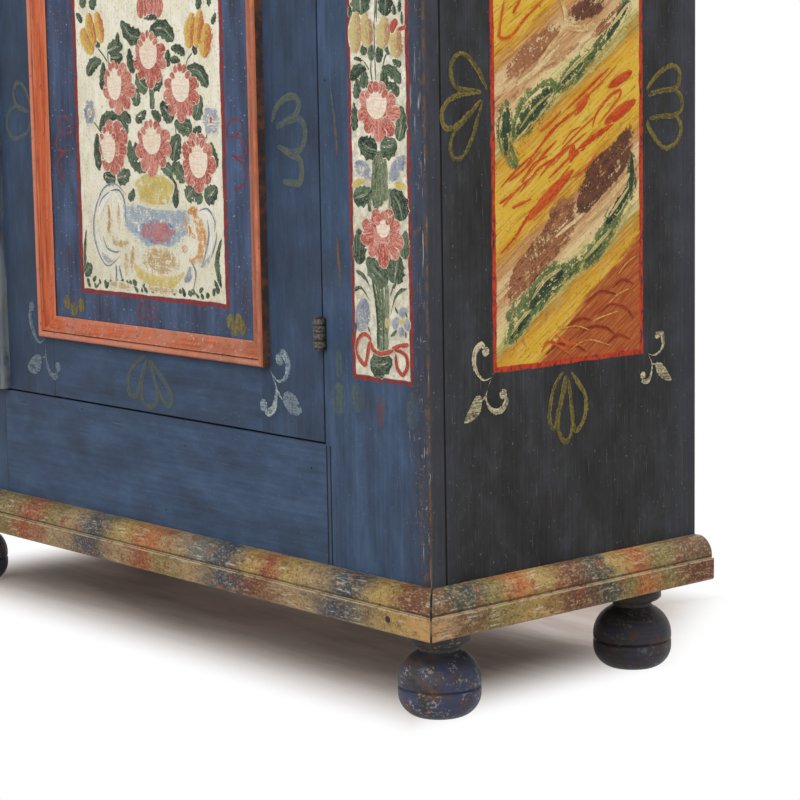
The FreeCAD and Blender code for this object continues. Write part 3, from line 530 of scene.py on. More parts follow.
def orange_paint(name, along):
    """Orange moulding round a panel, pale on its outer bead, with painted shade on the faces at both rims
    that do not face the front.
    """
    g = Graph(name)
    fine = g.streaks(along, 4.0, 90.0, 26.0)
    colour = g.ramp(fine, (0.32, (156, 68, 42)), (0.50, (198, 102, 66)), (0.68, (210, 126, 92)))
    middle = (MOULDING_LOW + MOULDING_HIGH) / 2
    half = (MOULDING_HIGH - MOULDING_LOW) / 2
    inset_across = g.add(g.times(g.apart(g.x, middle.x), -1.0), half.x)
    inset_up = g.add(g.times(g.apart(g.level, middle.z), -1.0), half.z)
    inset = g.math("MINIMUM", inset_across, inset_up)
    bead = g.step(g.apart(inset, 4.5), 3.6, 2.0)
    colour = g.tint(colour, bead, 0.6, (214, 146, 120))
    colour = g.tint(colour, g.step(inset, 22.0, 26.0), 0.5, (210, 132, 104))
    colour = g.tint(colour, g.mottle(20.0, 0.54, 0.72, 27.0), 0.45, (140, 96, 74))
    hinge_end = g.times(g.step(g.x, 0.0, 240.0), g.mottle(26.0, 0.30, 0.56, 56.0))
    colour = g.tint(colour, hinge_end, 0.5, (126, 88, 70))
    if along == "x":
        colour = g.tint(colour, g.mottle(22.0, 0.40, 0.58, 46.0), 0.6, (186, 128, 108))
        colour = g.tint(colour, g.mottle(8.0, 0.57, 0.66, 47.0), 0.6, (138, 108, 66))
        colour = g.tint(colour, g.mottle(4.0, 0.62, 0.70, 48.0, 2.0), 0.6, (226, 190, 166))
    dirt = g.step(g.noise((5.0, 5.0, 9.0), detail=5.0, seed=37.0), 0.60, 0.72)
    colour = g.tint(colour, dirt, 0.6, (88, 56, 46))
    colour = rub(g, colour, 0.6, (212, 160, 128), width=3.0)
    # Painted shade: every face of the moulding that does not face the front, its outer sides and inner lip,
    # is coloured dark brown
    flank = g.mix(g.mottle(14.0, 0.40, 0.66, 41.0), (70, 60, 60), (112, 78, 60))
    colour = g.mix(g.step(g.facing[1], -0.45, -0.15), colour, flank)
    return g.board(colour, fine, 0.25, 0.40, 0.3)


def marbled_paint(name, run):
    """The dabbed paint of the base and cornice, rubbed along the rims."""
    g = Graph(name)
    colour, dab = marble(g, run)
    colour = rub(g, colour, 0.75, (186, 160, 120), width=3.5)
    return g.board(colour, dab, 0.3, 0.40, 0.5)


def foot_paint():
    """Charcoal paint on the turned feet with a painted bluish highlight lower down, worn to rust brown and
    chipped white.
    """
    g = Graph("foot_paint")
    fine = g.noise((34.0, 34.0, 5.0), detail=6.0, roughness=0.65, seed=28.0)
    colour = g.ramp(fine, (0.34, (46, 46, 48)), (0.50, (64, 64, 66)), (0.66, (80, 78, 76)))
    front = g.step(g.y, 60.0, -20.0)
    in_front = g.math("MULTIPLY_ADD", front, 0.65, 0.35)
    # Painted highlight: a bluish sheen low on the feet, strongest on the front ones
    painted_blue_highlight = g.times(g.times(g.step(g.z, 88.0, 52.0), g.mottle(30.0, 0.40, 0.56, 53.0)), in_front)
    colour = g.tint(colour, painted_blue_highlight, 0.8, (62, 72, 108))
    colour = g.tint(colour, g.mottle(22.0, 0.54, 0.62, 29.0), 0.8, (98, 70, 52))
    # Painted shade on the rear feet, then painted light on the front feet
    colour = g.tint(colour, g.step(g.y, 40.0, 120.0), 0.35, (44, 38, 34))
    colour = g.mix(g.times(front, 0.15), colour, (84, 82, 84))
    flakes = g.step(g.noise((4.2, 4.2, 3.4), detail=3.0, seed=30.0), 0.52, 0.60)
    chips = g.times(flakes, g.mottle(26.0, 0.48, 0.60, 40.0))
    colour = g.tint(colour, g.times(chips, in_front), 0.7, (162, 160, 152))
    return g.finish(colour, g.math("MULTIPLY_ADD", fine, 0.3, 0.34), fine, relief=0.5, specular=0.2)


def bare_wood(name, along, painted_ends=False):
    """Unpainted wood; the boards of the back have ends that show at the sides and are painted dark."""
    g = Graph(name)
    colour, lines = wood(g, along)
    colour = rub(g, colour, 0.5, (190, 156, 112))
    if painted_ends:
        ends, _ = dark(g)
        colour = g.mix(g.step(g.math("ABSOLUTE", g.facing[0]), 0.5, 0.8), colour, ends)
    return g.board(colour, lines, 0.2, 0.55, 0.6)


def metal(name, dull, bright, metallic, roughness):
    """Old metal, pitted, with a dark skin worn through on the rims."""
    g = Graph(name)
    pits = g.noise((4.0, 4.0, 4.0), detail=6.0, seed=31.0)
    colour = g.mix(g.step(pits, 0.35, 0.65), dull, bright)
    colour = rub(g, colour, 0.8, bright, width=1.5)
    rough = g.math("MULTIPLY_ADD", pits, 0.3, roughness)
    return g.finish(colour, rough, pits, relief=0.3, metallic=metallic, specular=0.5)


def hinge_iron():
    """Rolled iron of the hinges, pitted, with dark gaps between the turns."""
    g = Graph("hinge_iron")
    pits = g.noise((3.0, 3.0, 3.0), detail=5.0, seed=49.0)
    turn = g.math("FRACT", g.times(g.z, 1 / KNUCKLE))
    colour = g.mix(g.step(pits, 0.36, 0.62), (46, 43, 41), (104, 98, 90))
    colour = g.tint(colour, g.step(g.apart(turn, 0.5), 0.30, 0.44), 0.85, (24, 22, 22))
    return g.finish(colour, g.math("MULTIPLY_ADD", pits, 0.3, 0.45), pits, relief=0.3, metallic=0.3,
                    specular=0.5)


# Pigments: a dark and a light shade, how dry the brush was, and how long and wide its marks are
# and at which load they cover in full
FINE_BRUSH, BROAD_BRUSH = (24.0, 1.8, 0.52), (46.0, 3.4, 0.8)
THIN_PAINT, SMUDGED = (24.0, 1.8, 1.15), (60.0, 9.0, 1.7)
PIGMENTS = {
    "leaf_green": ((34, 46, 37), (108, 126, 102), 0.8, FINE_BRUSH),
    "leaf_vein": ((66, 80, 66), (128, 142, 116), 1.2, FINE_BRUSH),
    "stem_green": ((60, 76, 58), (140, 150, 120), 1.0, FINE_BRUSH),
    "rose_red": ((158, 68, 58), (216, 156, 140), 0.9, FINE_BRUSH),
    "rose_white": ((222, 200, 180), (236, 222, 204), 0.9, FINE_BRUSH),
    "rose_eye": ((226, 204, 180), (244, 236, 218), 0.5, FINE_BRUSH),
    "tulip": ((184, 104, 62), (214, 186, 102), 0.6, FINE_BRUSH),
    "tulip_pale": ((166, 120, 88), (200, 186, 132), 0.9, FINE_BRUSH),
    "flower_blue": ((98, 108, 132), (166, 174, 186), 1.1, THIN_PAINT),
    "vase_blue": ((90, 118, 154), (168, 184, 194), 1.2, THIN_PAINT),
    "vase_line": ((84, 98, 120), (150, 164, 182), 0.9, FINE_BRUSH),
    "vase_tan": ((158, 124, 76), (204, 180, 134), 1.6, THIN_PAINT),
    "vase_gold": ((172, 150, 62), (214, 196, 114), 0.9, THIN_PAINT),
    "vase_ochre": ((170, 90, 34), (210, 160, 96), 1.6, THIN_PAINT),
    "vase_red": ((150, 74, 80), (194, 134, 132), 1.1, THIN_PAINT),
    "vase_white": ((214, 216, 210), (238, 238, 230), 0.9, FINE_BRUSH),
    "ribbon_red": ((146, 54, 44), (190, 98, 82), 0.7, FINE_BRUSH),
    "olive": ((82, 74, 38), (130, 118, 62), 1.2, FINE_BRUSH),
    "faded_olive": ((70, 82, 86), (92, 99, 82), 1.7, FINE_BRUSH),
    "hazy_red": ((84, 70, 80), (106, 70, 74), 0.5, SMUDGED),
    "hazy_olive": ((70, 86, 88), (90, 102, 88), 0.5, SMUDGED),
    "dim_olive": ((70, 80, 82), (92, 96, 74), 1.7, FINE_BRUSH),
    "faded_brown": ((82, 70, 68), (104, 88, 80), 1.5, FINE_BRUSH),
    "faded_red": ((98, 54, 64), (128, 64, 68), 1.5, FINE_BRUSH),
    "scroll_pale": ((94, 112, 126), (168, 182, 182), 1.1, FINE_BRUSH),
    "scroll_dim": ((78, 94, 110), (122, 136, 144), 1.6, FINE_BRUSH),
    "scroll_cream": ((116, 112, 88), (214, 204, 172), 1.1, FINE_BRUSH),
    "umber": ((86, 48, 34), (170, 116, 80), 1.4, BROAD_BRUSH),
    "plum": ((44, 27, 26), (114, 74, 56), 1.0, BROAD_BRUSH),
    "band_dark": ((118, 38, 26), (158, 64, 40), 0.9, FINE_BRUSH),
    "band_pink": ((164, 112, 72), (212, 174, 128), 1.3, BROAD_BRUSH),
    "band_moss": ((140, 132, 70), (208, 198, 132), 1.1, BROAD_BRUSH),
    "band_green": ((40, 62, 44), (118, 136, 82), 1.4, BROAD_BRUSH),
    "band_pine": ((22, 40, 36), (70, 92, 64), 1.0, BROAD_BRUSH),
    "band_red": ((182, 60, 30), (212, 106, 48), 0.8, FINE_BRUSH),
    "band_cream": ((196, 160, 100), (230, 212, 164), 1.2, BROAD_BRUSH),
    "band_scratch": ((190, 116, 54), (222, 174, 94), 1.2, FINE_BRUSH),
}
GROUNDS = {"blue": blue, "panel": panel_blue, "dark": dark, "ivory": ivory, "bands": bands,
    "vase": vase_body}
PAINTS = {}


def paint_of(pigment, ground):
    """The material of one pigment on one ground, streaked along the stroke and broken by a dry brush."""
    key = f"{pigment}_on_{ground}"
    if key in PAINTS:
        return PAINTS[key]
    deep, light, dry, brush = PIGMENTS[pigment]
    g = Graph(key)
    under, _ = GROUNDS[ground](g)
    length, width, full = brush
    bristles = g.add(g.brush_noise(length, width), -0.5)
    flecks = g.add(g.noise((3.0, 3.0, 3.0), detail=3.0, roughness=0.7, seed=32.0), -0.5)
    patches = g.add(g.noise((10.0, 10.0, 14.0), detail=4.0, seed=33.0), -0.5)
    grains = g.add(g.times(flecks, 3.0 * dry), g.times(patches, 2.2 * dry))
    broken = g.add(g.times(bristles, 2.6 * dry), grains)
    load = g.add(g.attribute("cover"), broken)
    shade = g.add(g.attribute("tone"), g.add(g.times(bristles, 2.4), g.times(flecks, 2.4)))
    colour = g.mix(g.step(shade, -0.45, 0.5), deep, light)
    colour = g.mix(g.step(load, 0.16, full), under, colour)
    rough = g.math("MULTIPLY_ADD", flecks, 0.2, 0.48)
    PAINTS[key] = g.finish(colour, rough, g.add(bristles, flecks), relief=0.3)
    return PAINTS[key]


# Brush strokes

def smooth(points):
    """Points along a smooth curve through the given ones."""
    ends = [Vector(point) for point in (points[0], *points, points[-1])]
    path = []
    for before, first, second, after in zip(ends, ends[1:], ends[2:], ends[3:]):
        for step in range(CURVE_STEPS):
            t = step / CURVE_STEPS
            path.append(
                before * (-0.5 * t + t * t - 0.5 * t ** 3)
                + first * (1 - 2.5 * t * t + 1.5 * t ** 3)
                + second * (0.5 * t + 2 * t * t - 1.5 * t ** 3)
                + after * (-0.5 * t * t + 0.5 * t ** 3))
    return [*path, ends[-1]]


# How wide a stroke is along its way, as a share of its full width
SHAPES = {
    "line": lambda t: (1 - (2 * t - 1) ** 8) ** 0.5,
    "leaf": lambda t: math.sin(math.pi * t) ** 0.6,
    "frond": lambda t: (
        math.sin(math.pi * t ** 0.8) ** 0.7 * (1.08 - 0.22 * abs(math.sin(4.5 * math.pi * t)))),
    "drop": lambda t: math.sin(math.pi * t ** 1.8) ** 0.7,
    "comma": lambda t: math.sin(math.pi * (1 - t) ** 1.8) ** 0.7,
}


class Face:
    """A flat face to paint on. Strokes are given as (u, v) in millimetres from a corner of it."""

    def __init__(self, name, body, slot, corner, across, ground):
        self.name = name
        self.body = body
        self.slot = slot
        self.corner = Vector(corner)
        self.across = Vector(across)
        self.out = Vector((0, -1, 0)) if self.across.x else Vector((math.copysign(1, corner[0]), 0, 0))
        self.ground = ground
        self.mesh = bmesh.new()
        self.layers = [self.mesh.verts.layers.float.new(key) for key in ("cover", "tone", "along", "beside")]
        self.paints = []
        self.strokes = 0
        self.random = random.Random(name)

    def begin(self, pigment, layer, ground):
        """Height of the next stroke and the number of its paint."""
        paint = paint_of(pigment, ground or self.ground)
        if paint not in self.paints:
            self.paints.append(paint)
        self.strokes += 1
        self.shade = self.random.uniform(-0.16, 0.16)
        self.start = Vector((self.random.uniform(0, 900), self.random.uniform(0, 900)))
        return FILM * (1 + layer) + OVERLAP * (self.strokes % OVERLAPS), self.paints.index(paint)

    def vertex(self, place, height, cover, brush, tone=0.0):
        """A point of a stroke, with its load and tone of paint and its place under the brush."""
        spot = self.corner + self.across * place[0] + UP * place[1] + self.out * height
        vertex = self.mesh.verts.new(spot * MM)
        for layer, value in zip(self.layers, (cover, self.shade + tone, *(self.start + Vector(brush)))):
            vertex[layer] = value
        return vertex

    def skin(self, corners, number, rim):
        """One face of a stroke; its rim is left sharp."""
        face = self.mesh.faces.new(corners)
        face.material_index = number
        face.smooth = True
        for edge in face.edges:
            if edge.verts[0] in rim and edge.verts[1] in rim:
                edge.smooth = False

    def ribbon(self, points, width, pigment, layer=1, shape="leaf", ground=None, soft=SOFT_EDGE, fade=0.15,
               core=0.0):
        """A pull of the brush, lighter on its left by fade and darker in its middle by core."""
        height, number = self.begin(pigment, layer, ground)
        path = smooth(points)
        last = len(path) - 1
        tips = [self.vertex(path[end], height, TIP_COVER, (far, 0))
                for end, far in ((0, 0), (last, TIP_STRIDE * last))]
        rings = []
        far = 0.0
        for index in range(1, last):
            along = path[index + 1] - path[index - 1]
            far += (path[index] - path[index - 1]).length
            beside = Vector((-along.y, along.x)).normalized()
            half = max(width / 2 * SHAPES[shape](index / last), 0.1)
            inner = half - min(soft, half * 0.6)
            ring = []
            for reach, rise, cover in ((half, 0, 0), (inner, FILM, 1), (-inner, FILM, 1), (-half, 0, 0)):
                place = path[index] + beside * reach
                tone = fade * reach / half + core * (abs(reach) / half - 0.7)
                ring.append(self.vertex(place, height + rise, cover, (far, reach), tone))
            ring.append(self.vertex(path[index], -SUNK, 0.0, (far, 0)))
            rings.append(ring)
        rim = {*tips, *(ring[0] for ring in rings), *(ring[3] for ring in rings)}
        count = len(rings[0])
        for one, two in zip(rings, rings[1:]):
            for side in range(count):
                after = (side + 1) % count
                self.skin((one[side], one[after], two[after], two[side]), number, rim)
        for tip, ring in zip(tips, (rings[0], rings[-1])):
            for side in range(count):
                self.skin((tip, ring[side], ring[(side + 1) % count]), number, rim)

    def patch(self, outline, pigment, layer=1, ground=None, soft=SOFT_EDGE, grain=0.0):
        """A filled patch inside an outline that its middle sees all round; grain turns its bristle marks."""
        height, number = self.begin(pigment, layer, ground)
        outline = [Vector(point) for point in outline]
        middle = sum(outline, Vector((0, 0))) / len(outline)
        inward = 1 - min(0.9, soft / max((point - middle).length for point in outline))
        top = self.vertex(middle, height + FILM, 1.0, (0, 0))
        keel = self.vertex(middle, -SUNK, 0.0, (0, 0))
        turned = Matrix.Rotation(-grain, 2)
        outer = [self.vertex(point, height, 0.0, turned @ (point - middle)) for point in outline]
        inner = [self.vertex(middle.lerp(point, inward), height + FILM, 1.0,
                             turned @ (point - middle) * inward) for point in outline]
        rim = set(outer)
        for index in range(len(outline)):
            after = (index + 1) % len(outline)
            self.skin((top, inner[index], inner[after]), number, rim)
            self.skin((inner[index], outer[index], outer[after], inner[after]), number, rim)
            self.skin((keel, outer[after], outer[index]), number, rim)

    def area(self, points, pigment, layer=1, ground=None, soft=SOFT_EDGE, grain=0.0):
        """A filled patch with a smooth outline through the points."""
        loop = smooth([points[-1], *points, points[0], points[1]])
        self.patch(loop[CURVE_STEPS:-CURVE_STEPS - 1], pigment, layer, ground, soft, grain)

    def blob(self, centre, half, pigment, layer=1, turn=0.0, lobes=0, depth=0.0, ground=None,
             soft=SOFT_EDGE):
        """A round dab of the given half sizes, scalloped when it has lobes."""
        outline = []
        steps = max(RING_STEPS, 6 * lobes)
        for index in range(steps):
            angle = 2 * math.pi * index / steps
            reach = 1 - depth * (1 - abs(math.cos(lobes * angle / 2))) if lobes else 1.0
            place = Vector((half[0] * reach * math.cos(angle), half[1] * reach * math.sin(angle)))
            place.rotate(Matrix.Rotation(turn, 2))
            outline.append(Vector(centre) + place)
        self.patch(outline, pigment, layer, ground, soft, turn)

    def done(self):
        """Turns the strokes into one piece that rides with its body."""
        bmesh.ops.recalc_face_normals(self.mesh, faces=self.mesh.faces)
        add_piece(self.name, self.mesh, self.paints, self.body)


def add_piece(name, mesh, materials, body):
    """A new piece of the object from a bmesh."""
    data = bpy.data.meshes.new(name)
    mesh.to_mesh(data)
    mesh.free()
    for material in materials:
        data.materials.append(material)
    piece = bpy.data.objects.new(name, data)
    bpy.context.scene.collection.objects.link(piece)
    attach(piece, body)


RIGHT, REARWARD, UP = Vector((1, 0, 0)), Vector((0, 1, 0)), Vector((0, 0, 1))


def bowed(root, tip, bow):
    """Three points from root to tip, the middle one pushed bow to the left."""
    root, tip = Vector(root), Vector(tip)
    way = (tip - root).normalized()
    return [root, (root + tip) / 2 + Vector((-way.y, way.x)) * bow, tip]


def dabs(face, pigment, layer, strokes, ground=None, shape="leaf", soft=SOFT_EDGE):
    """Strokes that are each a root, a tip, a width and a sideways bow."""
    for root, tip, width, bow in strokes:
        face.ribbon(bowed(root, tip, bow), width, pigment, layer, shape, ground, soft)


LEAF_FULLNESS = 1.3
VEINED = 15.0


def leaves(face, strokes, layer=1):
    """Green leaves with lobed rims."""
    for root, tip, width, bow in strokes:
        path = bowed(root, tip, bow)
        face.ribbon(path, LEAF_FULLNESS * width, "leaf_green", layer, "frond")
        if width > VEINED:
            face.ribbon([path[0], path[1], path[1].lerp(path[2], 0.6)], 2.2, "leaf_vein", layer + 1)


def lines(face, pigment, layer, width, *curves, shape="line", ground=None):
    """Curves drawn with one width."""
    for curve in curves:
        face.ribbon(curve, width, pigment, layer, shape, ground)


def rose(face, centre, half, eye, eye_half, petals=9):
    """A rose: red petals parted by pale lines, round a cream eye that the upper petals overlap."""
    def at(angle, reach):
        return (centre[0] + reach * half[0] * math.cos(angle), centre[1] + reach * half[1] * math.sin(angle))
    face.blob(centre, (0.82 * half[0], 0.82 * half[1]), "rose_red", 2)
    for index in range(petals):
        angle = 2 * math.pi * index / petals - math.pi / 2 + face.random.uniform(-0.1, 0.1)
        size = 0.44 if index == 0 else face.random.uniform(0.30, 0.42)
        face.blob(at(angle, face.random.uniform(0.62, 0.74)), (size * half[0], size * half[1]), "rose_red",
                  3, turn=angle, lobes=3, depth=0.12)
    for index in range(petals):
        angle = 2 * math.pi * (index + 0.5) / petals - math.pi / 2 + face.random.uniform(-0.12, 0.12)
        lines(face, "rose_white", 4, 2.0, (at(angle, 1.0), at(angle + 0.08, 0.86), at(angle, 0.68)),
            shape="comma")
    face.blob(eye, (eye_half[0], 1.12 * eye_half[1]), "rose_eye", 5, soft=3.0)
    for turn in (0.6, 1.1, 1.6, 2.1, 2.6):
        top = (eye[0] + eye_half[0] * math.cos(turn), eye[1] + 1.16 * eye_half[1] * math.sin(turn))
        face.blob(top, (face.random.uniform(5, 7), face.random.uniform(4, 5.5)), "rose_red", 6, turn=turn)


def tulip(face, petals, pigment):
    """Petals, each a root, a tip, a width and a bow, golden on the left and flushed red on the right."""
    for root, tip, width, bow in petals:
        face.ribbon(bowed(root, tip, bow), 1.15 * width, pigment, 2, soft=0.25 * width, fade=0.7, core=-0.6)


def paint_vase(face):
    """The two-handled vase at the foot of the flower piece, dabbed on thinly."""
    face.area([(98, 113), (118, 118), (170, 112), (228, 113), (248, 104), (246, 86), (216, 65),
               (170, 59), (124, 67), (98, 90)], "vase_blue", 2, soft=13)
    face.area([(126, 145), (148, 155), (170, 158), (198, 153), (214, 143), (208, 126), (197, 116),
               (160, 115), (137, 119), (131, 134)], "vase_gold", 3, soft=6)
    face.blob((174, 82), (42, 16), "vase_red", 3, lobes=7, depth=0.12, soft=10, ground="vase")
    face.ribbon([(118, 40), (136, 26), (172, 18), (210, 22), (230, 34)], 26, "vase_gold", 2, soft=9)
    face.blob((178, 46), (42, 20), "vase_tan", 3, soft=16)
    dabs(face, "vase_ochre", 2, (((262, 46), (252, 112), 22, -12), ((226, 60), (236, 67), 12, 0),
        ((238, 84), (235, 106), 9, 0), ((240, 108), (262, 112), 11, 3), ((242, 94), (256, 78), 11, -4),
        ((240, 50), (262, 56), 11, -3)), soft=4)
    dabs(face, "vase_tan", 2, (((103, 22), (102, 52), 13, 0), ((115, 26), (119, 62), 11, 0),
        ((65, 76), (65, 114), 8, -2), ((88, 82), (90, 121), 8, 0), ((62, 84), (110, 66), 12, -12),
        ((62, 10), (118, 8), 11, 0), ((150, 9), (214, 9), 10, 0)), soft=4)
    dabs(face, "vase_white", 2, (
        ((44, 92), (76, 130), 12, 8), ((78, 130), (96, 92), 10, 8), ((36, 92), (62, 42), 9, -8),
        ((268, 114), (287, 84), 9, 8), ((287, 84), (280, 58), 8, 4), ((138, 38), (136, 62), 9, 0)), soft=3.5)
    lines(face, "vase_line", 3, 3.6, ((108, 126), (84, 140), (56, 133), (36, 105), (31, 74), (43, 46),
        (62, 33), (90, 48)), ((71, 131), (92, 132), (104, 116), (104, 92)),
        ((44, 109), (54, 121), (71, 130)), ((51, 73), (60, 57), (78, 52), (90, 54)),
        ((79, 36), (80, 26), (78, 11)), ((86, 35), (89, 26), (92, 17)),
        ((263, 112), (282, 115), (296, 102), (295, 87)), ((299, 88), (297, 74), (286, 54)),
        ((281, 103), (283, 80), (268, 44)), ((243, 50), (254, 34), (247, 11)), shape="leaf")
    dabs(face, "flower_blue", 3, (((229, 22), (242, 42), 12, -5), ((264, 42), (286, 58), 8, -2),
        ((48, 50), (74, 40), 9, -4)))
    leaves(face, (((8, 14), (13, 80), 6, 3), ((306, 18), (309, 80), 9, 9), ((302, 12), (292, 28), 7, 0),
                  ((5, 20), (24, 32), 17, 0)))
    for index in range(GRASS_BLADES):
        u = 12 + index * GRASS_STEP + face.random.uniform(-4, 4)
        v = 9 + face.random.uniform(-4, 5)
        lean = face.random.uniform(-5, 5)
        leaves(face, (((u - lean, v - 3), (u + lean, v + 4), face.random.uniform(4, 8), 0),))


def paint_bouquet(face):
    """Roses, tulips and blue flowers over the vase."""
    lines(face, "stem_green", 0, 12, ((171, 272), (171, 255), (171, 236)))
    lines(face, "leaf_green", 0, 2.6, ((54, 314), (67, 304), (74, 297)),
        ((259, 306), (249, 298), (244, 288)), ((39, 220), (48, 212), (59, 203)),
        ((284, 214), (284, 204), (277, 197)), ((219, 217), (220, 209), (221, 202)),
        ((77, 318), (76, 306), (77, 292)), ((166, 274), (166, 255), (166, 238)))
    leaves(face, (
        ((20, 366), (28, 387), 14, 1), ((39, 365), (49, 387), 14, -3), ((20, 348), (6, 360), 9, 0),
        ((59, 316), (46, 326), 9, 1), ((156, 326), (107, 348), 20, 8), ((110, 336), (130, 332), 15, 0),
        ((134, 320), (142, 334), 9, 0), ((222, 322), (170, 336), 20, -8), ((186, 326), (170, 336), 14, 0),
        ((76, 310), (111, 316), 17, 2), ((98, 316), (100, 334), 9, 0), ((81, 302), (110, 303), 16, -1),
        ((134, 282), (125, 314), 14, 4), ((27, 279), (62, 298), 16, 6), ((60, 260), (65, 297), 14, -2),
        ((244, 304), (214, 312), 11, -3), ((213, 296), (234, 296), 9, 2), ((206, 289), (209, 311), 12, 0),
        ((268, 304), (260, 316), 9, 0), ((290, 264), (246, 288), 17, -8), ((270, 264), (256, 280), 8, 0),
        ((272, 358), (280, 380), 11, 0), ((296, 361), (296, 382), 8, 0), ((300, 340), (309, 354), 8, -1),
        ((163, 262), (140, 284), 19, 6), ((138, 240), (139, 263), 17, 2), ((170, 266), (193, 281), 15, -6)))
    leaves(face, (
        ((214, 222), (188, 244), 22, -2), ((133, 222), (158, 235), 12, -2), ((189, 222), (168, 234), 12, -1),
        ((53, 218), (97, 227), 14, 4), ((54, 208), (62, 226), 10, 0), ((124, 220), (93, 230), 12, -3),
        ((116, 205), (94, 226), 16, 1), ((49, 156), (46, 206), 14, 3), ((85, 146), (56, 150), 17, 0),
        ((88, 148), (118, 158), 19, -3), ((124, 166), (119, 198), 13, 2), ((132, 170), (133, 196), 13, 0),
        ((157, 163), (118, 168), 13, 3), ((213, 172), (228, 206), 24, 3), ((237, 147), (210, 170), 19, -2),
        ((212, 156), (184, 166), 16, -2), ((216, 113), (205, 156), 13, -4), ((111, 122), (125, 136), 11, -4),
        ((304, 166), (292, 198), 16, 3), ((238, 126), (256, 142), 20, 0), ((270, 122), (258, 140), 15, 1),
        ((276, 128), (303, 143), 21, -2), ((260, 224), (274, 255), 19, -1), ((255, 206), (272, 217), 14, -3),
        ((255, 212), (217, 220), 20, 0)))
    dabs(face, "rose_red", 2, (((154, 350), (154, 377), 17, 3), ((189, 350), (191, 379), 16, -3),
                               ((171, 352), (172, 388), 20, 0), ((162, 351), (160, 374), 10, 0),
                               ((181, 352), (183, 378), 10, 0)))
    leaves(face, (((188, 350), (158, 350), 7, -1),), 3)
    tulip(face, (((43, 307), (16, 339), 26, 0), ((47, 316), (35, 360), 24, 2),
        ((63, 320), (52, 361), 22, -1), ((252, 311), (263, 355), 25, 2), ((267, 312), (280, 358), 23, 1),
        ((284, 299), (294, 341), 29, 3)), "tulip")
    for centre, half in (((30, 231), (15, 20)), ((294, 224), (20, 20))):
        face.blob(centre, half, "flower_blue", 2, lobes=6, depth=0.22, soft=4)
        face.blob(centre, (5, 6), "vase_red", 3, soft=4)
    rose(face, (168, 299), (37, 30), (166, 308), (19, 19))
    rose(face, (98, 264), (34, 32), (89, 270), (16, 20))
    rose(face, (233, 257), (37, 30), (233, 267), (19, 19))
    rose(face, (83, 187), (32, 35), (71, 189), (16, 20))
    rose(face, (170, 190), (39, 32), (168, 199), (20, 17))
    rose(face, (265, 174), (35, 36), (266, 175), (19, 20))


